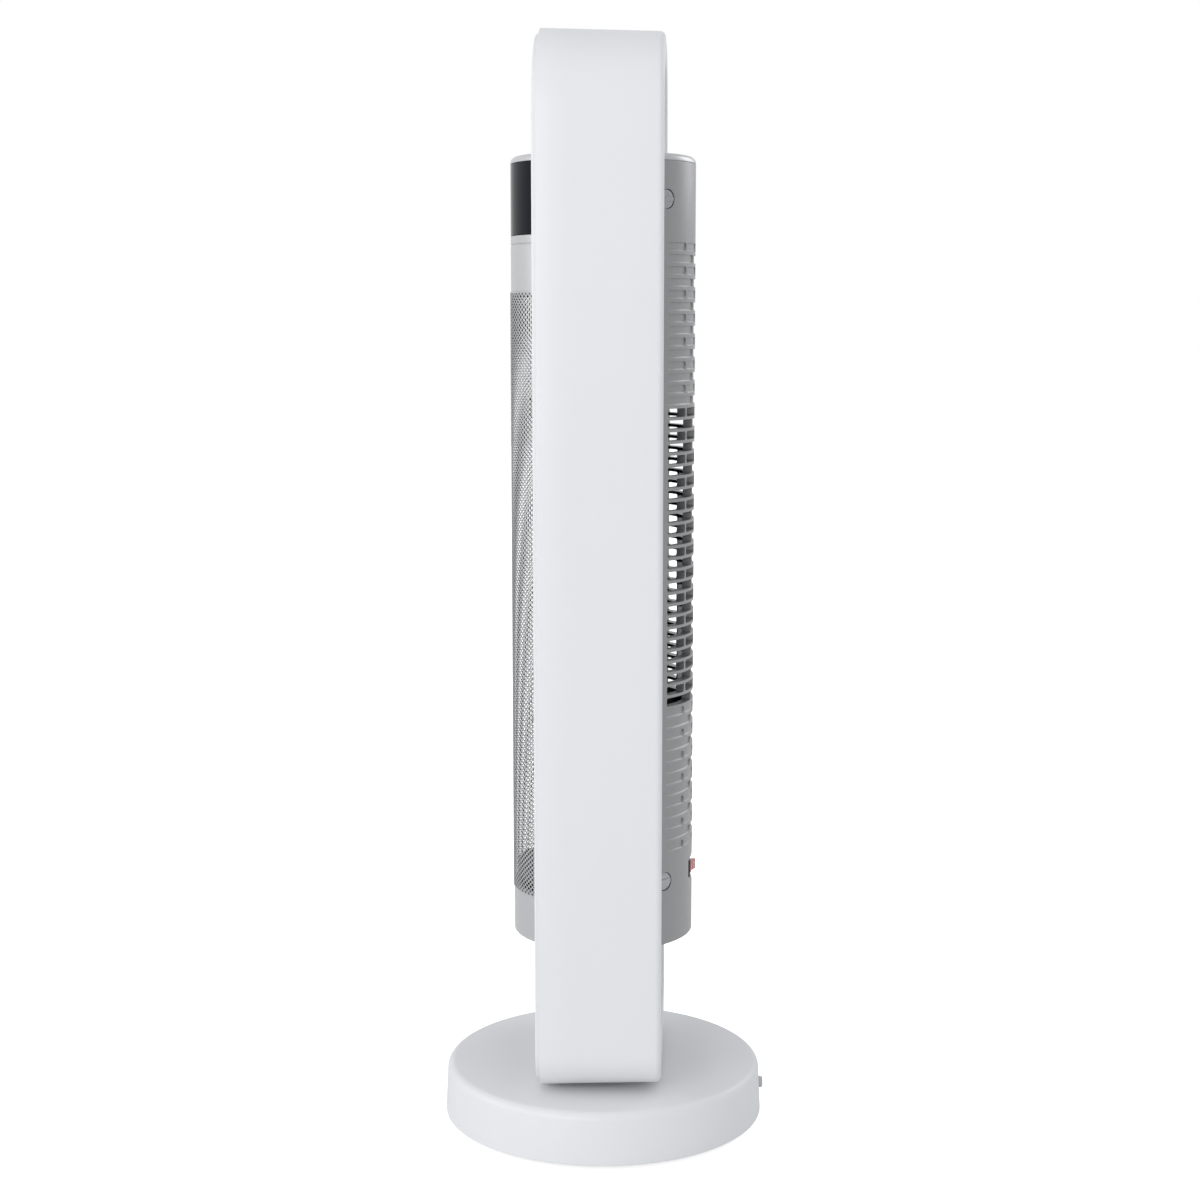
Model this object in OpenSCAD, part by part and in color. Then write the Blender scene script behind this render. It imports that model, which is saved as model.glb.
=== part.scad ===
// Tower fan heater. A round heater column hangs on two side pivots inside a tall loop stand,
// and the loop turns on a round weighted base.
// Origin: centre of the base on the floor. +Z is up and the warm air leaves towards -Y. Millimetres.

/* [Base] */
// Diameter of the base at its foot
base_d = 233; // [215:1:250]
// Height of the top of the base above the floor
base_top = 41; // [40:0.5:46]
// Wall of the base cover
base_wall = 2.6; // [2:0.1:3.2]
// Edge radius round the top of the base cover
base_edge = 6; // [3:0.5:8]
// How far the cover's side leans in from foot to top
base_draft = 1.7; // [0.5:0.1:3]
// Thickness of the bottom plate
plate_t = 3; // [2:0.1:3.6]
// Height of the rubber feet
foot_h = 2.5; // [1.5:0.1:3]
// Diameter of a rubber foot
foot_d = 18; // [12:1:22]
// Number of rubber feet
foot_count = 5; // [4:1:6]
// Thickness of the steel ballast ring
ballast_h = 12; // [6:0.5:13]
// Diameter of the mains lead that the rear gland takes
lead_d = 6.2; // [5:0.1:7]

/* [Swivel] */
// Gap between the top of the base and the lowest line of the loop
swivel_gap = 3; // [2.5:0.5:6]
// Diameter of the turning disc under the loop
disc_d = 72; // [66:1:76]
// Diameter of the disc's hollow spigot, which turns in the bush
spigot_d = 40; // [36:0.5:42]
// Diameter of the cable way through the spigot
cable_way_d = 20; // [14:0.5:22]
// Tooth module of the swivel gears
gear_module = 1; // [0.9:0.05:1.05]
// Width of the swivel gear's teeth
gear_w = 6; // [4:0.5:7]
// Diameter of the swivel motor
swivel_motor_d = 44; // [38:1:45]
// Height of the swivel motor
swivel_motor_h = 13; // [10:0.5:14]

/* [Loop stand] */
// Clear gap between the column and each leg of the loop
side_gap = 5; // [3.5:0.25:10]
// Depth of the loop, front to back
loop_depth = 88; // [82:1:100]
// Height of the loop
loop_h = 735; // [720:1:790]
// Thickness of the loop between its outer and inner faces
loop_t = 20; // [19:0.25:22]
// Outer corner radius at the top of the loop
loop_top_r = 60; // [45:1:75]
// Outer corner radius at the foot of the loop
loop_foot_r = 28; // [24:1:34]
// Inner corner radius at the foot of the loop
inner_foot_r = 12; // [8:0.5:16]
// Wall of the loop's moulded shell
loop_wall = 2.5; // [2:0.1:3]
// How far the outer faces lean in from front to back
loop_draft = 2.5; // [1:0.1:3]
// How far the front trim stands proud of the shell
trim_t = 3; // [2:0.1:4]
// How far the front trim is set in from the shell's outline
trim_inset = 4; // [3:0.1:5]
// Bevel round the rear edge of the shell
rear_bevel = 4; // [2:0.25:5]
// Thickness of the steel frame inside the loop
frame_t = 3; // [2:0.1:3.4]
// Width of the steel frame, front to back
frame_w = 44; // [36:1:56]

/* [Column] */
// Outer diameter of the heater column
col_d = 130; // [127:0.5:131]
// Clear gap between the cap and the loop's inner top
head_room = 64; // [50:1:70]
// Clear gap between the loop's inner foot and the column
col_lift = 77; // [60:1:82]
// Wall of the column's shells
shell_t = 2.5; // [2:0.1:3]
// Height of the top cap above the body
cap_h = 5; // [4:0.25:8]
// How far behind the column's axis the shells meet
seam_y = 7; // [4:0.5:9]
// Height of the glossy display band
display_h = 49.5; // [40:0.5:52]
// Height of the plain collar under the display band
collar_h = 6.5; // [4:0.5:10]

/* [Front mesh] */
// Height of the plain band between the mesh panel and the collar line
mesh_over = 32; // [20:1:60]
// Height of the mesh panel's lower edge above the column's underside
mesh_up = 33; // [28:1:45]
// Half of the angle that the mesh panel covers
mesh_half = 55; // [45:1:58]
// Thickness of the mesh panel
mesh_t = 1; // [0.8:0.1:1.4]
// How far the mesh panel stands proud of the shell
mesh_proud = 0.7; // [0.4:0.1:0.8]
// Corner radius of the mesh panel
mesh_corner = 9; // [4:0.5:14]

/* [Rear vents] */
// Height of the slats between the rows of slots
slat_h = 2.1; // [1.6:0.1:3]
// Height of the lowest row's lower edge above the column's underside
vent_up = 65.5; // [60:0.5:68]
// Depth of the highest row's upper edge below the column's top
vent_down = 53.7; // [50:0.1:60]
// Half of the angle that the rows cover, about the rear
vent_half = 44; // [38:1:46]
// Angle between neighbouring upright ribs of a row
rib_step = 24.5; // [20:0.5:26]
// Width of an upright rib
rib_w = 2; // [1.5:0.1:3]
// Depth of the blind slots
blind_depth = 1; // [0.5:0.1:1.4]

/* [Pivots and switch] */
// Height of the pivots above the column's underside
pivot_up = 283; // [270:1:290]
// Diameter of the pivot shafts
pivot_d = 18; // [16:0.5:19]
// Diameter of the bore through the pivot shafts
pivot_bore_d = 12; // [10:0.5:13]
// Diameter of the round screw plugs
plug_d = 13; // [12:0.2:15]
// Angle of the plugs behind the column's side
plug_angle = 45; // [40:0.5:48]
// Height of the lower plugs and of the rocker above the column's underside
switch_up = 46; // [42:0.5:48]
// Depth of the upper plugs below the column's top
upper_plug_down = 26; // [23:0.5:34]
// Length of the rocker switch's button
rocker_l = 14; // [12:0.5:15]
// Height of the rocker switch's button
rocker_w = 7.4; // [6:0.2:8.4]
// Angle that the rocker turns through
rocker_turn = 30; // [20:1:32]

/* [Blower and heater] */
// Diameter of the cross-flow wheel as a share of the column's diameter
wheel_share = 0.4615; // [0.4:0.005:0.48]
// Number of blades on the wheel
blade_count = 24; // [16:1:30]
// How much smaller the motor's radius is than the wheel's
motor_in = 3; // [2:0.5:8]
// Height of the blower motor
motor_h = 54; // [40:1:60]
// Gap between the heater block and the wheel
heater_gap = 10; // [6:0.5:12]
// Depth of the heater block
heater_depth = 12; // [10:0.5:14]

/* [Hidden] */

// Fits and overruns that several pieces share
cut = 1;             // overrun of a cutting tool past the face that it cuts
weld = 0.6;          // how deep two shapes of one piece run into each other
run_fit = 0.05;      // radial clearance of a shaft that turns in its bore
face_fit = 0.1;      // clearance between two faces that slide on each other
seat_fit = 0.05;     // clearance between two curved faces that seat on each other
slip_fit = 0.3;      // clearance round a piece that drops into a recess
seam_gap = 0.3;      // open joint line between two shells
smooth = 96;         // facets of a round shape when it is drawn
fine = 32;           // facets of a small round shape when it is drawn

// Levels of the base, from the floor up
base_r = base_d / 2;
base_top_r = base_r - base_draft;
plate_z1 = foot_h + plate_t;
cover_z0 = foot_h + plate_t / 2;
cover_in_r = base_top_r - base_wall;
cover_roof_z = base_top - base_wall;
least_edge = 1;
plate_r = cover_in_r - slip_fit;
boss_r = 4.5;
boss_margin = 3;
boss_ring_r = cover_in_r - boss_r - boss_margin;
boss_count = 6;
base_screw_r = 1.5;
base_screw_l = 16;
base_head_r = 3;
base_head_h = 2;
foot_in = 28;
foot_ring_r = base_r - foot_in;
foot_stem_r = 2.5;
foot_turn = 90;
ballast_margin = 2;
ballast_out_r = boss_ring_r - boss_r - ballast_margin;

// The rear gland, in the cover's side wall
gland_wall = 0.8;
gland_nose_wall = 0.6;
gland_lip = 0.3;
gland_proud = 2.6;
gland_inner_l = 5;
gland_inner_lip = 1.2;
gland_z = (cover_z0 + base_top) / 2;
gland_bore_r = lead_d / 2;
gland_body_r = gland_bore_r + gland_wall;
gland_nose_r = gland_bore_r + gland_nose_wall;
gland_root_r = gland_body_r + gland_lip;
gland_lean_y = base_draft * (gland_z - cover_z0) / (base_top - cover_z0);
gland_wall_y = base_r - gland_lean_y;
gland_seat_y = sqrt(cover_in_r * cover_in_r - gland_body_r * gland_body_r) - slip_fit;

// The swivel: bush, disc, spigot, gear and pinion
loop_z0 = base_top + swivel_gap;
bush_wall = 2.5;
bush_flange_r = 31;
bush_flange_t = 1.2;
spigot_r = spigot_d / 2;
bush_in_r = spigot_r + run_fit;
bush_out_r = bush_in_r + bush_wall;
collar_wall = 4.5;
collar_depth = 10.6;
collar_r = bush_out_r + collar_wall;
collar_z0 = base_top - collar_depth;
cable_way_r = cable_way_d / 2;
disc_in = 3;
disc_r = disc_d / 2;
disc_z0 = base_top + bush_flange_t + face_fit;
disc_z1 = loop_z0 + disc_in;
spigot_z0 = collar_z0 - face_fit;
gear_z1 = spigot_z0;
gear_z0 = gear_z1 - gear_w;
gear_tooth_count = 72;
pinion_tooth_count = 14;
sector_tooth_count = 19;
pressure_angle = 25;
backlash = 0.08;
root_share = 1.25;
flank_share = 0.6;
crown_share = 0.5;
tip_share = 0.95;
gear_pitch_r = gear_module * gear_tooth_count / 2;
pinion_pitch_r = gear_module * pinion_tooth_count / 2;
gear_centres = gear_pitch_r + pinion_pitch_r;
gear_hub_in = 1;
gear_hub_r = collar_r - gear_hub_in;
gear_screw_r = 1.25;
gear_screw_l = 11;
gear_head_r = 2.4;
gear_head_h = 1.6;
gear_screw_ring_r = (spigot_r + cable_way_r) / 2;
disc_screw_r = 2;
disc_head_r = 3.6;
disc_head_h = 2.2;
disc_screw_x = 24;
disc_screw_y = 14;
disc_boss_r = 5;

// The swivel motor stands on the bottom plate in front of the axis
motor_pad_h = 1.5;
swivel_motor_r = swivel_motor_d / 2;
swivel_motor_z0 = plate_z1 + motor_pad_h;
swivel_motor_z1 = swivel_motor_z0 + swivel_motor_h;
swivel_shaft_r = 2.5;
swivel_shaft_in = 10;
ear_out = 7;
ear_half = swivel_motor_r + ear_out;
ear_r = 4.5;
ear_t = 1.5;
ear_screw_r = 1.5;
ear_head_r = 2.8;
ear_head_h = 1.6;
ear_screw_l = 9;
pinion_over = 0.5;
ballast_motor_gap = 1.2;
ballast_in_r = gear_centres + swivel_motor_r + ballast_motor_gap;

// The loop
loop_z1 = loop_z0 + loop_h;
trim_y0 = -loop_depth / 2;
shell_y0 = trim_y0 + trim_t;
shell_y1 = loop_depth / 2;
bevel_share = 0.3;
bevel_step = rear_bevel * bevel_share;
open_hw = col_d / 2 + side_gap;
loop_hw = open_hw + loop_t;
open_z0 = loop_z0 + loop_t;
open_z1 = loop_z1 - loop_t;
open_top_r = loop_top_r - loop_t;
rim_depth = 4;
rim_step = 1.5;
rim_inset = trim_inset + rim_step;
trim_in_grow = 2;
rim_in_grow = trim_in_grow + rim_step;
lip_t = 1.6;
lip_depth = 3.4;
frame_in_grow = loop_wall + slip_fit;
pad_wall = 3;
pad_roof = 3;
pad_r = disc_r + pad_wall;
pad_z1 = disc_z1 + pad_roof;
frame_over_pivot = 26;

// The column
col_r = col_d / 2;
col_in_r = col_r - shell_t;
col_z0 = open_z0 + col_lift;
col_z1 = open_z1 - head_room - cap_h;
col_h = col_z1 - col_z0;
display_z0 = col_z1 - display_h;
collar_line_z = display_z0 - collar_h;
front_half = 90 + asin(seam_y / col_r);
seam_angle = seam_gap / col_r * 180 / PI;
rear_half = 180 - front_half - seam_angle;
groove_h = 0.6;
groove_depth = 0.5;
cap_round = 4.6;
cap_rim = 0.4;
cap_edge = min(cap_h - cap_rim, cap_round);

// Pivots
bush_flange_w = 6;
bush_body_w = 3;
bush_proud = 1;
hub_wall = 5;
hub_in = 3;
shaft_in = 0.5;
shaft_flange_w = 7;
shaft_flange_t = 3;
pivot_screw_out = 3.6;
pivot_screw_r = 1.25;
pivot_head_r = 2.2;
pivot_head_h = 1.5;
washer_w = 5;
rail_half_w = 14;
rail_t = 7;
pivot_z = col_z0 + pivot_up;
pivot_r = pivot_d / 2;
pivot_bore_r = pivot_bore_d / 2;
bush_flange_out_r = pivot_r + bush_flange_w;
bush_body_r = pivot_r + bush_body_w;
hub_r = bush_body_r + hub_wall;
rail_x1 = sqrt(col_in_r * col_in_r - hub_r * hub_r) - slip_fit;
rail_x0 = rail_x1 - rail_t;
hub_x0 = rail_x0 - hub_in;
bush_face_x = col_r + bush_proud;
shaft_end_x = hub_x0 + shaft_in;
frame_x0 = open_hw + frame_in_grow;
frame_x1 = frame_x0 + frame_t;
shaft_flange_r = pivot_r + shaft_flange_w;
shaft_flange_x1 = frame_x1 + shaft_flange_t;
pivot_screw_ring_r = pivot_r + pivot_screw_out;
washer_r = pivot_r + washer_w;

// The cable inside the stand
cable_r = 3;
cable_room = 0.6;
cable_low_in = 2;
cable_end_in = 1;
cable_low_bend = 16;
cable_bend = 9;
cable_z = pad_z1 + cable_r + slip_fit;
cable_leg_x = frame_x1 + cable_r + slip_fit;
cable_z0 = gear_z0 + cable_low_in;
cable_end_x = hub_x0 + cable_end_in;
cable_notch_w = 2 * (cable_r + cable_room);

// Screw plugs and the plates that their screws reach
plug_fit = 0.2;
plug_face = 0.8;
plug_bar = 0.4;
plug_t = 2;
plug_slot_share = 0.12;
screw_head_h = 2.4;
screw_head_r = 4;
shell_screw_r = 1.7;
shell_screw_l = 12;
cup_floor_t = 2;
cup_wall = 2;
plate_half_h = 4;
plug_r = plug_d / 2;
plug_recess_r = plug_r + plug_fit;
cup_seat_r = col_r - plug_face - plug_t - screw_head_h;
cup_in_r = cup_seat_r - cup_floor_t;
lower_plug_z = col_z0 + switch_up;
upper_plug_z = col_z1 - upper_plug_down;
lower_plate_z0 = lower_plug_z - plate_half_h;
lower_plate_z1 = lower_plug_z + plate_half_h;
upper_plate_z0 = upper_plug_z - plate_half_h;
upper_plate_z1 = upper_plug_z + plate_half_h;

// The cap's skirt clears the upper cups, and three posts carry it on the upper plate
cap_post_r = 5;
cap_post_ring_r = 38;
cap_screw_r = 1.5;
cap_screw_l = 18;
cap_screw_z1 = upper_plate_z0 + cap_screw_l;
skirt_z0 = upper_plug_z + plug_recess_r + cup_wall + slip_fit;

// Display
board_t = 1.6;
board_in = 14.5;
display_board_w = 60;
display_board_margin = 4;
led_w = 16;
led_h = 10;
led_t = 7;
led_place_share = 0.6;
display_board_y = board_in - col_in_r;

// The front mesh
mesh_z0 = col_z0 + mesh_up;
mesh_z1 = collar_line_z - mesh_over;
mesh_h = mesh_z1 - mesh_z0;
mesh_r1 = col_r + mesh_proud;
mesh_r0 = mesh_r1 - mesh_t;
mesh_ledge = 3;
mesh_rows = 25;
mesh_gap_r = 5.4;
mesh_gap_step = 10;
mesh_edge_angle = 6;
mesh_margin = 5;

// The rear vents: blind rows below and above, open rows between
low_rows = 13;
open_rows = 26;
all_rows = 53;
vent_z0 = col_z0 + vent_up;
row_pitch = (col_h - vent_up - vent_down) / all_rows;
slot_h = row_pitch - slat_h;
rib_depth = 6.5;
rib_end_angle = 2;
rib_angle = rib_w / col_r * 180 / PI;
open_z0_vent = vent_z0 + low_rows * row_pitch;
open_z1_vent = vent_z0 + (low_rows + open_rows) * row_pitch;

// The rocker switch in its pocket at the rear
pocket_w = 36;
pocket_h = 15;
pocket_slope = 3;
pocket_depth = 2.6;
bezel_t = 1.2;
bezel_rim = 1.4;
housing_l = 20;
rocker_pin_in = 1;
rocker_gap = 0.35;
rocker_end_gap = 1.1;
rocker_reach = 4.7;
rocker_dip = 1.1;
rocker_pin_r = 1;
well_depth = 5.5;
pocket_y = col_r - pocket_depth;
pocket_back_y = pocket_y - shell_t;
housing_y0 = pocket_y - housing_l;
rocker_y = pocket_y - rocker_pin_in;
rocker_rest = rocker_turn / 2;
well_half_l = rocker_l / 2 + rocker_end_gap;

// The blower
duct_t = 3;
duct_below = 12;
duct_above = 4;
wheel_floor_gap = 5;
wheel_roof_gap = 4;
wheel_disc_t = 2;
wheel_hub_r = 8;
wheel_hub_l = 8;
blade_t = 0.9;
blade_l = 7;
blade_turn = 35;
blower_shaft_r = 2.5;
shaft_in_motor = 12;
shaft_hole_r = 5;
bearing_r = 8;
bearing_flange_w = 2;
bearing_h = 7;
scroll_share = 1.2;
scroll_t = 2;
tongue_gap = 1.6;
scroll_from_angle = 120;
tongue_low_angle = 20;
tongue_high_angle = 10;
arc_steps = 12;
duct_z0 = open_z0_vent - duct_below;
duct_z1 = duct_z0 + duct_t;
roof_z0 = open_z1_vent + duct_above;
roof_z1 = roof_z0 + duct_t;
wheel_r = col_r * wheel_share;
wheel_z0 = duct_z1 + wheel_floor_gap;
wheel_z1 = roof_z0 - wheel_roof_gap;
motor_r = wheel_r - motor_in;
motor_z0 = duct_z0 - motor_h;
scroll_r = wheel_r * scroll_share;
tongue_r = wheel_r + tongue_gap;

// The heater block, in front of the wheel
duct_share = 0.6;
duct_mesh_gap = 2.627;
duct_margin = 3;
heater_side = 5;
heater_rim = 5;
duct_hw = col_r * duct_share;
duct_front_y = duct_mesh_gap - sqrt(mesh_r0 * mesh_r0 - duct_hw * duct_hw);
heater_hw = duct_hw - heater_side;
heater_y0 = duct_front_y + duct_margin;
heater_y1 = heater_y0 + heater_depth;
wheel_y = heater_y1 + heater_gap + wheel_r;
duct_rear_y = wheel_y + scroll_r;
bar_t = 3;
bar_in = 1.5;
bar_count = 4;
fin_t = 0.8;
fin_pitch = 6;
fin_z0 = duct_z1 + heater_rim;
fin_z1 = roof_z0 - heater_rim;
heater_inner_w = 2 * (heater_hw - heater_rim);
bar_gap = (heater_inner_w - bar_count * bar_t) / (bar_count - 1);
cutout_r = 6;
cutout_t = 4;

// Boards and small parts in the foot of the column
power_board_w = 64;
power_board_gap = 25;
power_board_in = 28.5;
power_board_h = duct_z0 - lower_plate_z1 - power_board_gap;
power_board_y = power_board_in - col_in_r;
relay_w = 18;
relay_h = 15;
relay_t = 14;
coil_r = 9;
coil_l = 12;
tip_w = 20;
tip_h = 18;
tip_t = 14;
tip_x = 18;
tip_y = 22;
bottom_in = 0.8;
bottom_t = 2.5;
bottom_post_r = 5;
bottom_post_x = 34;
bottom_post_y = 18;
bottom_screw_r = 1.5;
bottom_head_r = 3;
bottom_head_h = 1.8;
bottom_screw_l = 14;
bottom_grip = 6;
bottom_z0 = col_z0 + bottom_in;
bottom_seat_z = lower_plate_z0 + bottom_grip - bottom_screw_l;

// Wall that follows a circle: from radius r0 to r1 and level z0 to z1, half degrees each side of mid
module arc_wall(r0, r1, z0, z1, mid, half) {
    rotate([0, 0, mid - half])
        rotate_extrude(angle = 2 * half, $fn = smooth)
            translate([r0, z0]) square([r1 - r0, z1 - z0]);
}

module ring(r0, r1, z0, z1) {
    translate([0, 0, z0]) difference() {
        cylinder(r = r1, h = z1 - z0, $fn = smooth);
        translate([0, 0, -cut]) cylinder(r = r0, h = z1 - z0 + 2 * cut, $fn = smooth);
    }
}

module rod(r, z0, z1) {
    translate([0, 0, z0]) cylinder(r = r, h = z1 - z0, $fn = smooth);
}

// Round bar along X from x0 to x1 at the pivots' level
module pivot_rod(r, x0, x1) {
    translate([x0, 0, pivot_z]) rotate([0, 90, 0]) cylinder(r = r, h = x1 - x0, $fn = smooth);
}

// Round bar pointing out from the column's axis, at an angle from +X and a level
module spoke(r, from_r, to_r, angle, z) {
    rotate([0, 0, angle]) translate([from_r, 0, z]) rotate([0, 90, 0])
        cylinder(r = r, h = to_r - from_r, $fn = fine);
}

module box(x0, x1, y0, y1, z0, z1) {
    translate([x0, y0, z0]) cube([x1 - x0, y1 - y0, z1 - z0]);
}

module both_sides() {
    children();
    mirror([1, 0, 0]) children();
}

// Extrudes an XZ outline from y0 to y1
module along_y(y0, y1) {
    translate([0, y1, 0]) rotate([90, 0, 0]) linear_extrude(y1 - y0) children();
}

// Involute gear outline: half the angle that a tooth takes at radius r
function roll(a) = tan(a) * 180 / PI - a;
function tooth_half(r, teeth) =
    let (pitch_r = gear_module * teeth / 2, base_r = pitch_r * cos(pressure_angle))
    90 / teeth - backlash / pitch_r * 90 / PI + roll(pressure_angle)
        - roll(acos(min(1, base_r / max(r, base_r))));
function tooth_points(mid, teeth) =
    let (
        pitch_r = gear_module * teeth / 2,
        shares = [-root_share, -flank_share, 0, crown_share, tip_share],
        radii = [for (share = shares) pitch_r + share * gear_module],
        low = [for (r = radii) [r, mid - tooth_half(r, teeth)]],
        high = [for (i = [4:-1:0]) [radii[i], mid + tooth_half(radii[i], teeth)]]
    )
    [for (p = concat(low, high)) [p[0] * cos(p[1]), p[0] * sin(p[1])]];

// Base

module cover_outline(inset) {
    side_r = base_top_r - inset;
    edge = max(base_edge - inset, least_edge);
    roof = base_top - inset;
    union() {
        polygon([
            [0, cover_z0], [base_r - inset, cover_z0], [side_r, roof - edge],
            [side_r - edge, roof - edge], [side_r - edge, roof], [0, roof]
        ]);
        translate([side_r - edge, roof - edge]) circle(r = edge, $fn = smooth);
    }
}

module base_cover() {
    color("white") difference() {
        union() {
            difference() {
                rotate_extrude($fn = smooth) intersection() {
                    cover_outline(0);
                    translate([0, cover_z0]) square([base_r, base_top - cover_z0]);
                }
                rotate_extrude($fn = smooth) intersection() {
                    translate([0, -base_wall]) cover_outline(base_wall);
                    translate([0, cover_z0 - base_wall - cut]) square([base_r, base_top]);
                }
                rod(plate_r + slip_fit, cover_z0 - cut, plate_z1 + weld);
            }
            rod(collar_r, collar_z0, cover_roof_z + weld);
            boss_places() rod(boss_r, plate_z1, cover_roof_z + weld);
        }
        rod(bush_out_r, collar_z0 - cut, base_top + cut);
        boss_places() rod(base_screw_r, plate_z1 - cut, foot_h + base_screw_l + cut);
        translate([0, gland_seat_y - cut, gland_z]) rotate([-90, 0, 0])
            cylinder(r = gland_body_r, h = base_r - gland_seat_y + 2 * cut, $fn = fine);
    }
}

module boss_places() {
    for (i = [0 : boss_count - 1])
        rotate([0, 0, i * 360 / boss_count]) translate([boss_ring_r, 0, 0]) children();
}

module base_plate() {
    color("dimgray") difference() {
        union() {
            rod(plate_r, foot_h, plate_z1);
            for (side = [-1, 1])
                translate([side * ear_half, -gear_centres, 0])
                    rod(ear_r, plate_z1 - weld, swivel_motor_z1 - ear_t);
            for (side = [-1, 1])
                translate([side * swivel_motor_r / 2, -gear_centres, 0])
                    rod(ear_r, plate_z1 - weld, swivel_motor_z0);
        }
        boss_places() {
            rod(base_screw_r + slip_fit, foot_h - cut, plate_z1 + cut);
            rod(base_head_r + slip_fit, foot_h - cut, foot_h + base_head_h);
        }
        for (i = [0 : foot_count - 1])
            rotate([0, 0, foot_turn + i * 360 / foot_count]) translate([foot_ring_r, 0, 0])
                rod(foot_stem_r, foot_h - cut, plate_z1 + cut);
        for (side = [-1, 1])
            translate([side * ear_half, -gear_centres, 0])
                rod(ear_screw_r, swivel_motor_z1 - ear_screw_l - cut, swivel_motor_z1);
    }
}

module ballast_ring() {
    color("slategray") ring(ballast_in_r, ballast_out_r, plate_z1, plate_z1 + ballast_h);
}

module rubber_feet() {
    color("black") for (i = [0 : foot_count - 1])
        rotate([0, 0, foot_turn + i * 360 / foot_count]) translate([foot_ring_r, 0, 0]) {
            rod(foot_d / 2, 0, foot_h);
            rod(foot_stem_r, foot_h - weld, plate_z1);
        }
}

module base_screws() {
    color("silver") boss_places() {
        rod(base_head_r, foot_h + slip_fit, foot_h + base_head_h);
        rod(base_screw_r, foot_h + base_head_h - weld, foot_h + base_screw_l);
    }
}

module cord_gland() {
    inner_y = gland_seat_y - gland_inner_l;
    end_y = gland_wall_y + gland_proud;
    color("gainsboro") translate([0, 0, gland_z]) rotate([-90, 0, 0]) difference() {
        union() {
            translate([0, 0, inner_y])
                cylinder(r = gland_body_r, h = gland_wall_y - inner_y + weld, $fn = fine);
            translate([0, 0, gland_wall_y])
                cylinder(r1 = gland_root_r, r2 = gland_nose_r, h = gland_proud, $fn = fine);
            translate([0, 0, inner_y])
                cylinder(r = gland_body_r + gland_inner_lip, h = gland_inner_l, $fn = fine);
        }
        translate([0, 0, inner_y - cut])
            cylinder(r = gland_bore_r, h = end_y - inner_y + 2 * cut, $fn = fine);
    }
}

// Swivel

module swivel_bush() {
    color("ivory") difference() {
        union() {
            rod(bush_out_r, collar_z0, base_top + weld);
            rod(bush_flange_r, base_top, base_top + bush_flange_t);
        }
        rod(bush_in_r, collar_z0 - cut, base_top + bush_flange_t + cut);
    }
}

module swivel_motor() {
    color("silver") translate([0, -gear_centres, 0]) difference() {
        union() {
            rod(swivel_motor_r, swivel_motor_z0, swivel_motor_z1);
            for (side = [-1, 1]) {
                translate([side * ear_half, 0, 0])
                    rod(ear_r, swivel_motor_z1 - ear_t, swivel_motor_z1);
                box(min(0, side * ear_half), max(0, side * ear_half), -ear_r, ear_r,
                    swivel_motor_z1 - ear_t, swivel_motor_z1);
            }
        }
        rod(swivel_shaft_r + run_fit, swivel_motor_z1 - swivel_shaft_in - run_fit,
            swivel_motor_z1 + cut);
        for (side = [-1, 1])
            translate([side * ear_half, 0, 0])
                rod(ear_screw_r + slip_fit, swivel_motor_z1 - ear_t - cut, swivel_motor_z1 + cut);
    }
}

module swivel_motor_screws() {
    color("silver") for (side = [-1, 1])
        translate([side * ear_half, -gear_centres, 0]) {
            rod(ear_head_r, swivel_motor_z1, swivel_motor_z1 + ear_head_h);
            rod(ear_screw_r, swivel_motor_z1 - ear_screw_l, swivel_motor_z1 + weld);
        }
}

module drive_pinion() {
    top = gear_z1 + pinion_over;
    step = 360 / pinion_tooth_count;
    color("white") translate([0, -gear_centres, 0]) {
        translate([0, 0, gear_z0 - pinion_over]) linear_extrude(gear_w + 2 * pinion_over)
            polygon([for (i = [0 : pinion_tooth_count - 1])
                each tooth_points(90 + (i + 0.5) * step, pinion_tooth_count)]);
        rod(swivel_shaft_r, swivel_motor_z1 - swivel_shaft_in, top + weld);
    }
}

module swivel_disc() {
    color("black") difference() {
        union() {
            rod(disc_r, disc_z0, disc_z1);
            rod(spigot_r, spigot_z0, disc_z0 + weld);
        }
        rod(cable_way_r, spigot_z0 - cut, disc_z1 + cut);
        disc_screw_places() {
            rod(disc_screw_r + slip_fit, disc_z0 - cut, disc_z1 + cut);
            rod(disc_head_r + slip_fit, disc_z0 - cut, disc_z0 + disc_head_h + slip_fit);
        }
        gear_screw_places() rod(gear_screw_r, spigot_z0 - cut, gear_z0 + gear_screw_l);
    }
}

module disc_screw_places() {
    for (sx = [-1, 1], sy = [-1, 1])
        translate([sx * disc_screw_x, sy * disc_screw_y, 0]) children();
}

module gear_screw_places() {
    for (i = [0 : 2]) rotate([0, 0, 30 + 120 * i]) translate([gear_screw_ring_r, 0, 0]) children();
}

module swivel_gear() {
    step = 360 / gear_tooth_count;
    first = -90 - (sector_tooth_count - 1) / 2 * step;
    color("white") difference() {
        union() {
            rod(gear_hub_r, gear_z0, gear_z1);
            translate([0, 0, gear_z0]) linear_extrude(gear_w)
                polygon(concat([[0, 0]], [for (i = [0 : sector_tooth_count - 1])
                    each tooth_points(first + i * step, gear_tooth_count)]));
        }
        rod(cable_way_r, gear_z0 - cut, gear_z1 + cut);
        gear_screw_places() rod(gear_screw_r + slip_fit, gear_z0 - cut, gear_z1 + cut);
    }
}

module gear_screws() {
    color("silver") gear_screw_places() {
        rod(gear_head_r, gear_z0 - gear_head_h, gear_z0);
        rod(gear_screw_r, gear_z0 - weld, gear_z0 + gear_screw_l);
    }
}

module disc_screws() {
    head_z1 = disc_z0 + slip_fit + disc_head_h;
    color("silver") disc_screw_places() {
        rod(disc_head_r, disc_z0 + slip_fit, head_z1);
        rod(disc_screw_r, head_z1 - weld, open_z0 - frame_in_grow);
    }
}

// Loop stand

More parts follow.
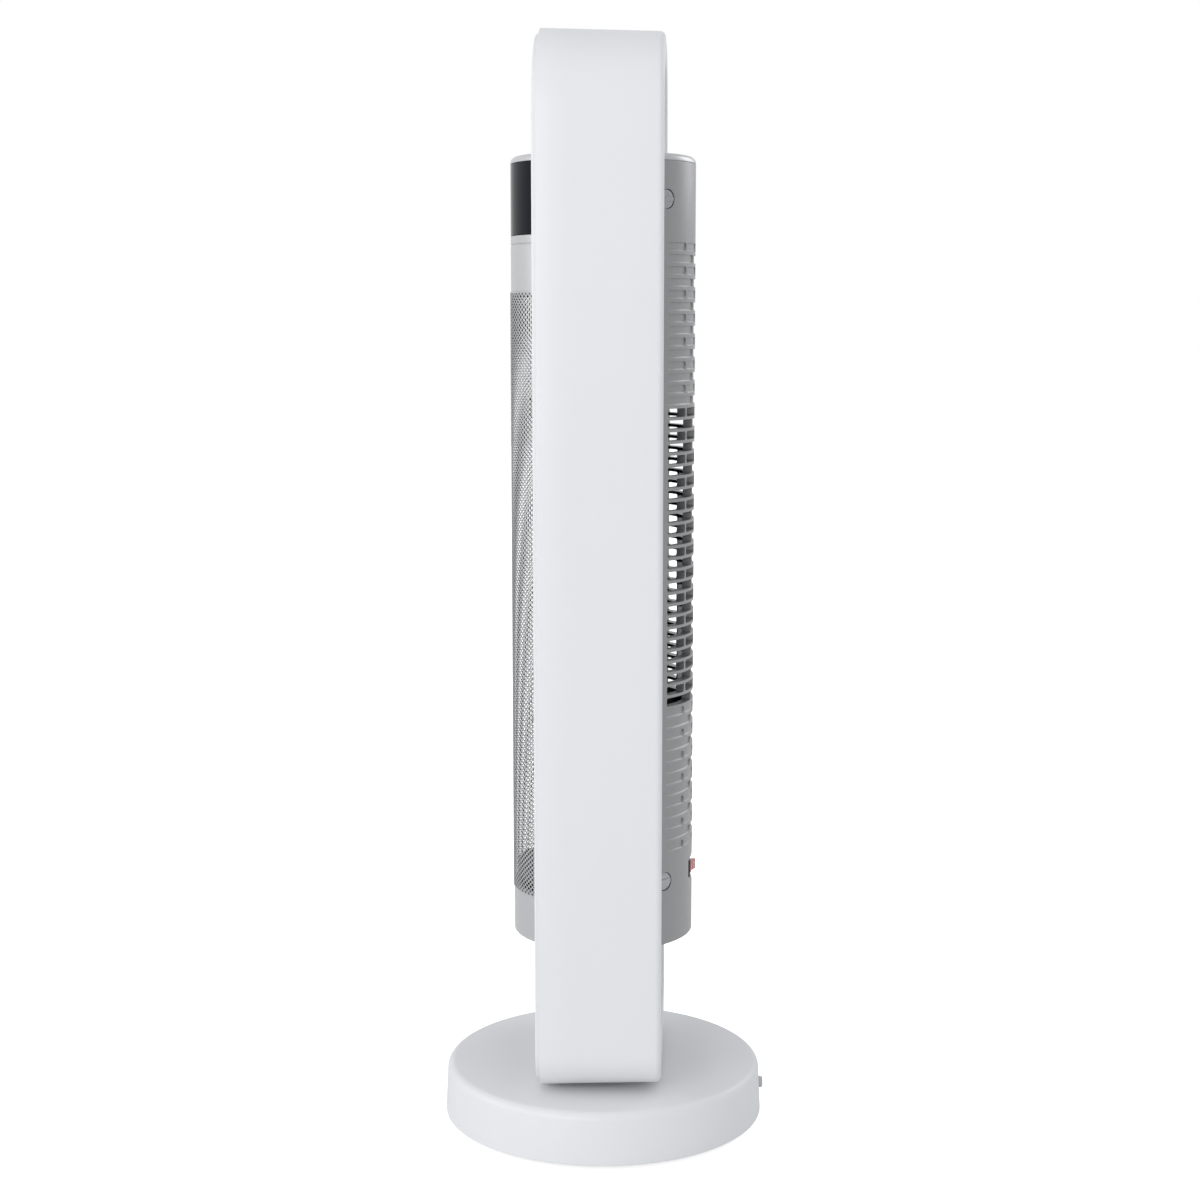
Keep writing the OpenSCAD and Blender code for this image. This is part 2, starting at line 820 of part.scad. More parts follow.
// Corner of the loop: a post along Y whose radius is r less the inset of each station
module corner_post(r, stations) {
    last = len(stations) - 1;
    rotate([-90, 0, 0]) rotate_extrude($fn = smooth)
        polygon(concat([[0, stations[0][0]]], [for (s = stations) [r - s[1], s[0]]],
            [[0, stations[last][0]]]));
}

// Solid inside the loop's outer outline, through stations of [y, inset] from front to back
module loop_solid(stations) {
    top_x = loop_hw - loop_top_r;
    top_z = loop_z1 - loop_top_r;
    foot_x = loop_hw - loop_foot_r;
    foot_z = loop_z0 + loop_foot_r;
    last = len(stations) - 1;
    y0 = stations[0][0];
    y1 = stations[last][0];
    for (sx = [-1, 1]) {
        translate([sx * top_x, 0, top_z]) corner_post(loop_top_r, stations);
        translate([sx * foot_x, 0, foot_z]) corner_post(loop_foot_r, stations);
    }
    translate([0, 0, foot_z]) linear_extrude(top_z - foot_z)
        polygon(concat([for (s = stations) [s[1] - loop_hw, s[0]]],
            [for (i = [last : -1 : 0]) [loop_hw - stations[i][1], stations[i][0]]]));
    translate([-top_x, 0, 0]) rotate([90, 0, 90]) linear_extrude(2 * top_x)
        polygon(concat([[y0, foot_z]], [for (s = stations) [s[0], loop_z1 - s[1]]],
            [[y1, foot_z]]));
    translate([-foot_x, 0, 0]) rotate([90, 0, 90]) linear_extrude(2 * foot_x)
        polygon(concat([[y0, top_z]], [for (s = stations) [s[0], loop_z0 + s[1]]],
            [[y1, top_z]]));
}

// XZ outline of the space inside the loop, grown into the loop by grow
module opening_2d(grow) {
    hw = open_hw + grow;
    top_r = open_top_r + grow;
    foot_r = inner_foot_r + grow;
    low = open_z0 - grow;
    high = open_z1 + grow;
    for (sx = [-1, 1]) {
        translate([sx * (hw - top_r), high - top_r]) circle(r = top_r, $fn = smooth);
        translate([sx * (hw - foot_r), low + foot_r]) circle(r = foot_r, $fn = smooth);
    }
    translate([-hw, low + foot_r]) square([2 * hw, high - low - top_r - foot_r]);
    translate([-(hw - top_r), low + foot_r]) square([2 * (hw - top_r), high - low - foot_r]);
    translate([-(hw - foot_r), low]) square([2 * (hw - foot_r), high - low - top_r]);
}

module loop_shell() {
    bevel_y = shell_y1 - rear_bevel;
    rear_in_y = shell_y1 - loop_wall;
    mouth_y = shell_y0 + rim_depth;
    color("whitesmoke") difference() {
        loop_solid([
            [shell_y0, 0], [bevel_y, loop_draft],
            [shell_y1 - bevel_step, loop_draft + bevel_step], [shell_y1, loop_draft + rear_bevel]
        ]);
        difference() {
            loop_solid([[shell_y0 - cut, rim_inset], [mouth_y, rim_inset]]);
            along_y(shell_y0 - 2 * cut, mouth_y + cut) opening_2d(rim_in_grow);
        }
        difference() {
            loop_solid([[mouth_y, loop_wall], [rear_in_y, loop_draft + loop_wall]]);
            along_y(mouth_y - cut, shell_y1) opening_2d(loop_wall);
            rod(pad_r, loop_z0, pad_z1);
            disc_screw_places() rod(disc_boss_r, loop_z0, open_z0);
        }
        along_y(shell_y0 - cut, shell_y1 + cut) opening_2d(0);
        rod(disc_r + slip_fit, loop_z0 - cut, disc_z1);
        rod(cable_way_r, loop_z0 - cut, pad_z1 + cut);
        disc_screw_places() {
            rod(disc_screw_r, loop_z0, open_z0 - loop_wall);
            rod(disc_boss_r + cut, open_z0 - frame_in_grow - frame_t - slip_fit,
                open_z0 - loop_wall);
        }
        both_sides() pivot_rod(pivot_r, open_hw - cut, open_hw + loop_wall + cut);
    }
}

module loop_trim() {
    lip_out = rim_inset + slip_fit;
    color("whitesmoke") {
        difference() {
            loop_solid([[trim_y0, trim_inset], [shell_y0, trim_inset]]);
            along_y(trim_y0 - cut, shell_y0 + cut) opening_2d(trim_in_grow);
        }
        difference() {
            loop_solid([[shell_y0 - weld, lip_out], [shell_y0 + lip_depth, lip_out]]);
            loop_solid([
                [shell_y0 - cut, lip_out + lip_t], [shell_y0 + lip_depth + cut, lip_out + lip_t]
            ]);
        }
    }
}

module loop_frame() {
    top_z = pivot_z + frame_over_pivot;
    color("slategray") difference() {
        along_y(-frame_w / 2, frame_w / 2) difference() {
            opening_2d(frame_in_grow + frame_t);
            opening_2d(frame_in_grow);
            translate([-loop_hw, top_z]) square([2 * loop_hw, loop_h]);
        }
        rod(cable_way_r, loop_z0, open_z0);
        disc_screw_places() rod(disc_screw_r, loop_z0, open_z0);
        both_sides() {
            pivot_rod(pivot_r, frame_x0 - cut, frame_x1 + cut);
            pivot_screw_places() pivot_rod(pivot_screw_r, frame_x0 - cut, frame_x1 + cut);
            box(frame_x0 - cut, frame_x1 + cut, -cable_notch_w / 2, cable_notch_w / 2,
                pivot_z - shaft_flange_r - cut, pivot_z);
        }
    }
}

module pivot_screw_places() {
    for (angle = [90, 210, 330])
        translate([0, pivot_screw_ring_r * cos(angle), pivot_screw_ring_r * sin(angle)])
            children();
}

module pivot_shafts() {
    color("silver") both_sides() difference() {
        union() {
            pivot_rod(pivot_r, shaft_end_x, shaft_flange_x1);
            pivot_rod(shaft_flange_r, frame_x1, shaft_flange_x1);
        }
        pivot_rod(pivot_bore_r, shaft_end_x - cut, shaft_flange_x1 + cut);
        pivot_screw_places()
            pivot_rod(pivot_screw_r + slip_fit, frame_x1 - cut, shaft_flange_x1 + cut);
        box(open_hw + loop_wall, shaft_flange_x1 + cut, -cable_notch_w / 2, cable_notch_w / 2,
            pivot_z - shaft_flange_r - cut, pivot_z);
    }
}

module pivot_screws() {
    color("silver") both_sides() pivot_screw_places() {
        pivot_rod(pivot_head_r, shaft_flange_x1, shaft_flange_x1 + pivot_head_h);
        pivot_rod(pivot_screw_r, frame_x0, shaft_flange_x1 + weld);
    }
}

module pivot_washers() {
    color("ivory") both_sides() difference() {
        pivot_rod(washer_r, bush_face_x + face_fit, open_hw);
        pivot_rod(pivot_r, bush_face_x, open_hw + cut);
    }
}

// Quarter bend of the cable: centre, radius and the angle where it starts, in the XZ plane
module cable_bend_at(x, z, bend, start) {
    translate([x, 0, z]) rotate([90, 0, 0]) rotate([0, 0, start])
        rotate_extrude(angle = 90, $fn = smooth)
            translate([bend, 0]) circle(r = cable_r, $fn = fine);
}

module cable_run_x(x0, x1, z) {
    translate([x0, 0, z]) rotate([0, 90, 0]) cylinder(r = cable_r, h = x1 - x0, $fn = fine);
}

module leg_cable() {
    low_x = cable_leg_x - cable_low_bend;
    top_x = cable_leg_x - cable_bend;
    color("black") {
        translate([0, 0, cable_z0])
            cylinder(r = cable_r, h = cable_z - cable_bend - cable_z0, $fn = fine);
        cable_bend_at(cable_bend, cable_z - cable_bend, cable_bend, 90);
        cable_run_x(cable_bend, low_x, cable_z);
        cable_bend_at(low_x, cable_z + cable_low_bend, cable_low_bend, 270);
        translate([cable_leg_x, 0, cable_z + cable_low_bend])
            cylinder(r = cable_r, h = pivot_z - cable_bend - cable_z - cable_low_bend, $fn = fine);
        cable_bend_at(top_x, pivot_z - cable_bend, cable_bend, 0);
        cable_run_x(cable_end_x, top_x, pivot_z);
    }
}

// Column shells

module pivot_clearance() {
    both_sides() pivot_rod(bush_flange_out_r + slip_fit, rail_x0, col_r + cut);
}

module front_shell() {
    rim_angle = mesh_ledge / col_r * 180 / PI;
    color("silver") difference() {
        arc_wall(col_in_r, col_r, col_z0, display_z0, -90, front_half);
        arc_wall(col_in_r - cut, col_r + cut, mesh_z0 + mesh_ledge, mesh_z1 - mesh_ledge, -90,
            mesh_half - rim_angle);
        intersection() {
            ring(mesh_r0 - seat_fit, col_r + cut, mesh_z0 - cut, mesh_z1 + cut);
            mesh_block(slip_fit);
        }
        difference() {
            ring(col_r - groove_depth, col_r + cut, collar_line_z, collar_line_z + groove_h);
            box(-col_d, col_d, seam_y, col_d, collar_line_z - cut, collar_line_z + cut);
        }
        pivot_clearance();
    }
}

// Block with rounded corners that gives the mesh panel its outline as seen from the front
module mesh_block(grow) {
    hw = mesh_r1 * sin(mesh_half) + grow;
    low = mesh_z0 - grow;
    high = mesh_z1 + grow;
    along_y(-col_d, 0) {
        for (sx = [-1, 1], z = [low + mesh_corner, high - mesh_corner])
            translate([sx * (hw - mesh_corner), z]) circle(r = mesh_corner, $fn = smooth);
        translate([-hw, low + mesh_corner]) square([2 * hw, high - low - 2 * mesh_corner]);
        translate([mesh_corner - hw, low]) square([2 * (hw - mesh_corner), high - low]);
    }
}

module front_mesh() {
    row_gap = (mesh_h - 2 * mesh_margin) / mesh_rows;
    color("gray") difference() {
        intersection() {
            ring(mesh_r0, mesh_r1, mesh_z0 - cut, mesh_z1 + cut);
            mesh_block(0);
        }
        for (row = [0 : mesh_rows - 1]) {
            z = mesh_z0 + mesh_margin + (row + 0.5) * row_gap;
            half_count = floor((mesh_half - mesh_edge_angle) / mesh_gap_step);
            shift = row % 2 == 0 ? 0 : mesh_gap_step / 2;
            for (i = [-half_count : half_count - (shift > 0 ? 1 : 0)])
                rotate([0, 0, -90 + shift + i * mesh_gap_step]) translate([mesh_r0 - cut, 0, z])
                    rotate([0, 90, 0]) cylinder(r = mesh_gap_r, h = mesh_t + 2 * cut, $fn = 6);
        }
    }
}

// Angles, from the rear, of the slots of a row: every second row is shifted by half a step
function rib_places(row) = row % 2 == 0 ? [-1, 0, 1] : [-0.5, 0.5];
function slot_edges(row) =
    let (ribs = [for (p = rib_places(row)) p * rib_step])
    concat([-vent_half], [for (a = ribs) each [a - rib_angle / 2, a + rib_angle / 2]], [vent_half]);

module slot_row(row, r0, r1) {
    edges = slot_edges(row);
    z = vent_z0 + row * row_pitch + (row_pitch - slot_h) / 2;
    for (i = [0 : 2 : len(edges) - 2])
        arc_wall(r0, r1, z, z + slot_h, 90 + (edges[i] + edges[i + 1]) / 2,
            (edges[i + 1] - edges[i]) / 2);
}

module rear_shell() {
    open_end = low_rows + open_rows;
    color("darkgray") difference() {
        union() {
            arc_wall(col_in_r, col_r, col_z0, col_z1, 90, rear_half);
            arc_wall(col_r - rib_depth, col_in_r + weld, open_z0_vent, open_z1_vent, 90,
                vent_half + rib_end_angle);
            plug_places() spoke(plug_recess_r + cup_wall, cup_in_r, col_in_r + weld, 0, 0);
            intersection() {
                box(-pocket_w / 2 - cup_wall, pocket_w / 2 + cup_wall, pocket_back_y, col_r,
                    lower_plug_z - pocket_h / 2 - pocket_slope - cup_wall,
                    lower_plug_z + pocket_h / 2 + pocket_slope + cup_wall);
                rod(col_r, col_z0, col_z1);
            }
        }
        for (row = [low_rows : open_end - 1])
            slot_row(row, col_r - rib_depth - cut, col_r + cut);
        for (row = [0 : low_rows - 1]) slot_row(row, col_r - blind_depth, col_r + cut);
        for (row = [open_end : all_rows - 1]) slot_row(row, col_r - blind_depth, col_r + cut);
        plug_places() {
            spoke(plug_recess_r, cup_seat_r, col_r + cut, 0, 0);
            spoke(shell_screw_r + slip_fit, cup_in_r - cut, col_r, 0, 0);
        }
        rocker_pocket();
        switch_body(slip_fit, pocket_back_y - cut, pocket_y + cut);
        pivot_clearance();
    }
}

// Sloped recess for the switch, as an outline in YZ run along X
module rocker_pocket() {
    half = pocket_h / 2;
    translate([-pocket_w / 2, 0, lower_plug_z]) rotate([90, 0, 90]) linear_extrude(pocket_w)
        polygon([
            [pocket_y, -half], [pocket_y, half], [col_r + cut, half + pocket_slope],
            [col_r + cut, -half - pocket_slope]
        ]);
}

module plug_places() {
    for (angle = [plug_angle, 180 - plug_angle], z = [lower_plug_z, upper_plug_z])
        rotate([0, 0, angle]) translate([0, 0, z]) children();
}

module screw_plugs() {
    face_r = col_r - plug_face;
    slot_half = plug_d * plug_slot_share;
    color("silver") plug_places() {
        spoke(plug_r, face_r - plug_t, face_r, 0, 0);
        intersection() {
            spoke(plug_r, face_r - weld, face_r + plug_bar, 0, 0);
            box(face_r - weld, face_r + plug_bar, -plug_r, plug_r, -slot_half, slot_half);
        }
    }
}

module shell_screws() {
    head_r = cup_seat_r + screw_head_h;
    color("silver") plug_places() {
        spoke(screw_head_r, cup_seat_r, head_r, 0, 0);
        spoke(shell_screw_r, cup_seat_r - shell_screw_l, cup_seat_r + weld, 0, 0);
    }
}

module display_lens() {
    color("black") arc_wall(col_in_r, col_r, display_z0, col_z1, -90, front_half);
}

module display_board() {
    y1 = display_board_y + board_t;
    low = display_z0 + display_board_margin;
    high = col_z1 - display_board_margin;
    mid = (low + high) / 2;
    color("darkgreen") {
        box(-display_board_w / 2, display_board_w / 2, display_board_y, y1, low, high);
        for (side = [-1, 1])
            translate([side * led_w * led_place_share, display_board_y, mid])
                box(-led_w / 2, led_w / 2, -led_t, weld, -led_h / 2, led_h / 2);
    }
}

module top_cap() {
    top = col_z1 + cap_h;
    skirt_r = col_in_r - slip_fit;
    color("silver") {
        rotate_extrude($fn = smooth) {
            translate([0, col_z1]) square([col_r - cap_edge, cap_h]);
            intersection() {
                translate([col_r - cap_edge, top - cap_edge]) circle(r = cap_edge, $fn = smooth);
                translate([0, col_z1]) square([col_r, cap_h]);
            }
            translate([0, col_z1]) square([col_r, cap_h - cap_edge]);
        }
        arc_wall(skirt_r - shell_t, skirt_r, skirt_z0, col_z1 + weld, 90, front_half);
        difference() {
            cap_post_places() rod(cap_post_r, upper_plate_z1, col_z1 + weld);
            cap_post_places() rod(cap_screw_r, upper_plate_z1 - cut, cap_screw_z1 + slip_fit);
        }
    }
}

module cap_post_places() {
    for (angle = [90, 210, 330])
        rotate([0, 0, angle]) translate([cap_post_ring_r, 0, 0]) children();
}

module cap_screws() {
    color("silver") cap_post_places() {
        rod(bottom_head_r, upper_plate_z0 - bottom_head_h, upper_plate_z0);
        rod(cap_screw_r, upper_plate_z0 - weld, cap_screw_z1);
    }
}

module bottom_cover() {
    color("gray") difference() {
        union() {
            rod(col_in_r - seat_fit, bottom_z0, bottom_z0 + bottom_t);
            bottom_post_places() rod(bottom_post_r, bottom_z0 + bottom_t - weld, lower_plate_z0);
        }
        bottom_post_places() {
            rod(bottom_screw_r + slip_fit, bottom_z0 - cut, lower_plate_z0 + cut);
            rod(bottom_head_r + slip_fit, bottom_z0 - cut, bottom_seat_z);
        }
    }
}

module bottom_post_places() {
    for (sx = [-1, 1], sy = [-1, 1])
        translate([sx * bottom_post_x, sy * bottom_post_y, 0]) children();
}

module bottom_screws() {
    color("silver") bottom_post_places() {
        rod(bottom_head_r, bottom_seat_z - bottom_head_h, bottom_seat_z);
        rod(bottom_screw_r, bottom_seat_z - weld, bottom_seat_z + bottom_screw_l);
    }
}

// Chassis

module upper_plate() {
    color("dimgray") difference() {
        rod(col_in_r - seat_fit, upper_plate_z0, upper_plate_z1);
        box(-col_r, col_r, -col_r, display_board_y + board_t, upper_plate_z0 - cut,
            upper_plate_z1 + cut);
        plug_seats(upper_plug_z);
        cap_post_places()
            rod(cap_screw_r + slip_fit, upper_plate_z0 - cut, upper_plate_z1 + cut);
    }
}

// Room for the rear shell's cups, and the pilot bores of their screws
module plug_seats(z) {
    for (angle = [plug_angle, 180 - plug_angle]) {
        spoke(plug_recess_r + cup_wall + slip_fit, cup_in_r - seat_fit, col_r, angle, z);
        spoke(shell_screw_r, cup_seat_r - shell_screw_l - cut, col_r, angle, z);
    }
}

module lower_plate() {
    notch = pocket_w / 2 + cup_wall + slip_fit;
    color("dimgray") difference() {
        rod(col_in_r - seat_fit, lower_plate_z0, lower_plate_z1);
        box(-notch, notch, housing_y0 - cut, col_r, lower_plate_z0 - cut, lower_plate_z1 + cut);
        plug_seats(lower_plug_z);
        bottom_post_places() rod(bottom_screw_r, lower_plate_z0 - cut, lower_plate_z1 + cut);
    }
}

module side_rails() {
    color("dimgray") both_sides() difference() {
        union() {
            box(rail_x0, rail_x1, -rail_half_w, rail_half_w, lower_plate_z1, upper_plate_z0);
            pivot_rod(hub_r, hub_x0, rail_x1);
        }
        pivot_rod(bush_body_r, hub_x0 - cut, rail_x1 + cut);
    }
}

module pivot_bushes() {
    color("ivory") both_sides() difference() {
        union() {
            pivot_rod(bush_body_r, hub_x0, rail_x1 + weld);
            pivot_rod(bush_flange_out_r, rail_x1, bush_face_x);
        }
        pivot_rod(pivot_r + run_fit, hub_x0 - cut, bush_face_x + cut);
    }
}

// Blower and heater

// Floor or roof of the air duct: a slab between the side rails, inside the rear fins
module duct_slab(z0, z1) {
    box(-rail_x0, rail_x0, -rail_half_w, rail_half_w, z0, z1);
    box(-duct_hw, duct_hw, duct_front_y, 0, z0, z1);
    intersection() {
        box(-duct_hw, duct_hw, -weld, duct_rear_y, z0, z1);
        rod(col_r - rib_depth - slip_fit, z0, z1);
    }
}

module duct_floor() {
    color("darkslategray") difference() {
        duct_slab(duct_z0, duct_z1);
        translate([0, wheel_y, 0]) rod(shaft_hole_r, duct_z0 - cut, duct_z1 + cut);
    }
}

module duct_roof() {
    color("darkslategray") difference() {
        duct_slab(roof_z0, roof_z1);
        translate([0, wheel_y, 0]) rod(bearing_r, roof_z0 - cut, roof_z1 + cut);
    }
}

// Points of an arc about the wheel's axis
function arc_points(r, from, to) =
    [for (i = [0 : arc_steps])
        let (angle = from + (to - from) * i / arc_steps) [r * cos(angle), r * sin(angle)]];

// Upright duct wall: an arc from one angle to another, then straight on to the heater
module duct_wall(r, from, to) {
    end_x = r * cos(to);
    end_out_x = (r + scroll_t) * cos(to);
    color("darkslategray") translate([0, wheel_y, duct_z1]) linear_extrude(roof_z0 - duct_z1)
        polygon(concat(
            arc_points(r + scroll_t, from, to),
            [[end_out_x, heater_y1 - wheel_y], [end_x, heater_y1 - wheel_y]],
            arc_points(r, to, from)));
}

module scroll_wall() {
    duct_wall(scroll_r, scroll_from_angle, 180);
}

module tongue_wall() {
    duct_wall(tongue_r, tongue_high_angle, -tongue_low_angle);
}

module blower_motor() {
    color("silver") translate([0, wheel_y, 0]) difference() {
        rod(motor_r, motor_z0, duct_z0);
        rod(blower_shaft_r + run_fit, duct_z0 - shaft_in_motor - run_fit, duct_z0 + cut);
    }
}

module blower_wheel() {
    disc_zs = [wheel_z0, (wheel_z0 + wheel_z1) / 2, wheel_z1 - wheel_disc_t];
    color("dimgray") translate([0, wheel_y, 0]) difference() {
        union() {
            for (z = disc_zs) rod(wheel_r, z, z + wheel_disc_t);
            rod(wheel_hub_r, wheel_z0, wheel_z0 + wheel_hub_l);
            for (i = [0 : blade_count - 1])
                rotate([0, 0, i * 360 / blade_count]) translate([wheel_r, 0, 0])
                    rotate([0, 0, blade_turn])
                        box(-blade_l - blade_t, -blade_t, -blade_t / 2, blade_t / 2,
                            wheel_z0 + weld, wheel_z1 - weld);
        }
        rod(blower_shaft_r, wheel_z0 - cut, wheel_z1 + cut);
    }
}

module blower_shaft() {
    color("silver") translate([0, wheel_y, 0])
        rod(blower_shaft_r, duct_z0 - shaft_in_motor, roof_z0 + bearing_h - slip_fit);
}

module upper_bearing() {
    color("goldenrod") translate([0, wheel_y, 0]) difference() {
        union() {
            rod(bearing_r, roof_z0, roof_z1 + weld);
            rod(bearing_r + bearing_flange_w, roof_z1, roof_z0 + bearing_h);
        }
        rod(blower_shaft_r + run_fit, roof_z0 - cut, roof_z0 + bearing_h + cut);
    }
}

module heater_frame() {
    color("beige") difference() {
        box(-heater_hw, heater_hw, heater_y0, heater_y1, duct_z1, roof_z0);
        box(heater_rim - heater_hw, heater_hw - heater_rim, heater_y0 - cut, heater_y1 + cut,
            fin_z0, fin_z1);
    }
}

module heater_bars() {
    first = heater_rim - heater_hw;
    color("silver") for (i = [0 : bar_count - 1]) {
        x = first + i * (bar_t + bar_gap);
        box(x, x + bar_t, heater_y0 + bar_in, heater_y1 - bar_in, fin_z0, fin_z1);
    }
}

module heater_fins() {
    first = heater_rim - heater_hw + bar_t;
    spine = (heater_y0 + heater_y1) / 2;
    count = floor((fin_z1 - fin_z0 - fin_t) / fin_pitch);
    color("lightgray") for (i = [0 : bar_count - 2]) {
        x = first + i * (bar_t + bar_gap);
        for (k = [0 : count])
            box(x, x + bar_gap, heater_y0 + bar_in, heater_y1 - bar_in,
                fin_z0 + k * fin_pitch, fin_z0 + k * fin_pitch + fin_t);
        box(x, x + bar_gap, spine - fin_t / 2, spine + fin_t / 2, fin_z0,
            fin_z0 + count * fin_pitch + fin_t / 2);
    }
}

module thermal_cutout() {
    color("tan") translate([heater_hw / 2, heater_y0 - cutout_t, roof_z0 - cutout_r])
        rotate([-90, 0, 0]) cylinder(r = cutout_r, h = cutout_t, $fn = fine);
}

// Foot of the column

module power_board() {
    y1 = power_board_y + board_t;
    low = lower_plate_z1;
    hw = power_board_w / 2;
    color("darkgreen") {
        box(-hw, hw, power_board_y, y1, low, low + power_board_h);
        for (side = [-1, 1])
            box(side * relay_w - relay_w / 2, side * relay_w + relay_w / 2,
                power_board_y - relay_t, power_board_y + weld, low + relay_h, low + 2 * relay_h);
        translate([0, power_board_y + weld, low + 4 * relay_h]) rotate([90, 0, 0])
            cylinder(r = coil_r, h = coil_l, $fn = fine);
    }
}

module tip_switch() {
    color("black") box(-tip_x - tip_w / 2, -tip_x + tip_w / 2, tip_y - tip_t / 2,
        tip_y + tip_t / 2, lower_plate_z1, lower_plate_z1 + tip_h);
}

// Body of the rocker switch between two depths, grown by fit
module switch_body(fit, y0, y1) {
    hw = well_half_l + bezel_rim / 2 + fit;
    hh = rocker_w / 2 + rocker_gap + bezel_rim / 2 + fit;
    box(-hw, hw, y0, y1, lower_plug_z - hh, lower_plug_z + hh);
}

module switch_housing() {
    hw = well_half_l + bezel_rim + cup_wall / 2;
    hh = rocker_w / 2 + rocker_gap + bezel_rim + cup_wall / 2;
    well_h = rocker_w / 2 + rocker_gap;
    color("black") difference() {
        union() {
            switch_body(0, housing_y0, pocket_y + weld);
            box(-hw, hw, pocket_y, pocket_y + bezel_t, lower_plug_z - hh, lower_plug_z + hh);
        }
        box(-well_half_l, well_half_l, rocker_y - well_depth, col_r, lower_plug_z - well_h,
            lower_plug_z + well_h);
        translate([0, rocker_y, lower_plug_z - well_h - bezel_rim / 2])
            rod(rocker_pin_r + run_fit, -cut / 2, 2 * well_h + bezel_rim + cut / 2);
    }
}

// The button turns about an upright pin; at rest its +X end is pressed in
module rocker() {
    half = rocker_l / 2;
    color("red") translate([0, rocker_y, lower_plug_z]) rotate([0, 0, -rocker_rest]) {
        translate([0, 0, -rocker_w / 2]) linear_extrude(rocker_w)
            polygon([
                [-half, rocker_reach], [0, rocker_reach - rocker_dip], [half, rocker_reach],
                [half, rocker_reach / 2], [half / 3, -rocker_reach / 2],
                [-half / 3, -rocker_reach / 2], [-half, rocker_reach / 2]
            ]);
        rod(rocker_pin_r, -rocker_w / 2 - rocker_gap - bezel_rim / 4,
            rocker_w / 2 + rocker_gap + bezel_rim / 4);
    }
}

base_cover();
base_plate();
ballast_ring();
rubber_feet();
base_screws();
cord_gland();
swivel_bush();
swivel_motor();
swivel_motor_screws();
drive_pinion();
swivel_disc();
swivel_gear();
gear_screws();
disc_screws();
loop_shell();
loop_trim();
loop_frame();
pivot_shafts();
pivot_screws();
pivot_washers();
leg_cable();
front_shell();
rear_shell();
front_mesh();
display_lens();
display_board();
top_cap();
cap_screws();
bottom_cover();
bottom_screws();
upper_plate();
lower_plate();
side_rails();
pivot_bushes();
shell_screws();
screw_plugs();
duct_floor();
duct_roof();
scroll_wall();
tongue_wall();
blower_motor();
blower_wheel();
blower_shaft();
upper_bearing();
heater_frame();
heater_fins();
heater_bars();
thermal_cutout();
power_board();
tip_switch();
switch_housing();
rocker();
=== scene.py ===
# Tower fan heater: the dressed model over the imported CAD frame, seen as in the photograph
import math
import bpy
import bmesh
from mathutils import Matrix, Vector


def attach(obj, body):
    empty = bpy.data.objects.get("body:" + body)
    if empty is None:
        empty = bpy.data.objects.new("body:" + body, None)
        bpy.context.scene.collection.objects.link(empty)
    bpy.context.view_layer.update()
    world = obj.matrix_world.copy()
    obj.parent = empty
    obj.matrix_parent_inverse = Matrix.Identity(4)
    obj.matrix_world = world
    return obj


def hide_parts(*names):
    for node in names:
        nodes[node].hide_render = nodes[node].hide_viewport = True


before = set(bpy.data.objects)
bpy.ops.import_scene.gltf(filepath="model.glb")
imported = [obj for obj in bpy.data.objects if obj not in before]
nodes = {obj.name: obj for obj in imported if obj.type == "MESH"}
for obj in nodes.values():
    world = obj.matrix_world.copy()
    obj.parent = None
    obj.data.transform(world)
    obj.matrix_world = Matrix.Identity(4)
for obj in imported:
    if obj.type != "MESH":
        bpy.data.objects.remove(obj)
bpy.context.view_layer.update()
scene = bpy.context.scene

# A millimetre in metres, the distance in millimetres that counts as none, and turns in degrees
MM = 0.001
WELD = 0.0005
HALF_TURN = 180
QUARTER_TURN = 90

# The camera: film and lens in millimetres, picture in pixels, place in metres, turn in degrees
FILM_W = 36
LENS = 61.5
PICTURE_W = 1200
SHIFT_PIXELS = -3.2
CAMERA_PLACE = (1.4626, 0.0639, 0.583)
CAMERA_TURN = (82.2, 0, 92.5)

# The base with its collar and gland; lengths here and below are in millimetres
BASE_R = 116.5
BASE_TOP_R = 114.8
BASE_Z0 = 4.0
BASE_TOP = 41.0
BASE_EDGE = 6.0
BASE_WALL = 2.6
COLLAR_IN_R = 22.6
COLLAR_OUT_R = 27.0
COLLAR_Z0 = 30.4
GLAND_Z = 22.5
GLAND_R = 3.9
GLAND_BORE_R = 3.1
GLAND_NUT_R = 5.1

# The loop, its opening, its hollow and its front rim
LOOP_HW = 90.0
LOOP_Z0 = 44.0
LOOP_Z1 = 779.0
LOOP_TOP_R = 60.0
LOOP_FOOT_R = 28.0
OPEN_HW = 70.0
OPEN_Z0 = 64.0
OPEN_Z1 = 759.0
OPEN_TOP_R = 40.0
OPEN_FOOT_R = 12.0
OPEN_EDGE = 1.6
SHELL_Y0 = -41.0
SHELL_Y1 = 44.0
BEVEL_Y = 40.0
REAR_BEVEL = 4.0
LOOP_DRAFT = 2.5
LOOP_WALL = 2.5
MOUTH_Y = -37.0
RIM_EDGE = 0.5
RIM_MIDDLE = 0.12
RIM_IN = 3.5
RIM_OUT = 5.5
DISC_HOLE_R = 36.3
PIVOT_Z = 424.0
PIVOT_R = 9.0

# The front trim, with the distances of its tenon from the loop's outside
TRIM_Y0 = -44.0
TRIM_INSET = 4.0
TRIM_GROW = 2.0
TRIM_OUT_EDGE = 1.2
TRIM_IN_EDGE = 1.0
TRIM_TENON = (5.8, 7.4)
TENON_Y = -37.6

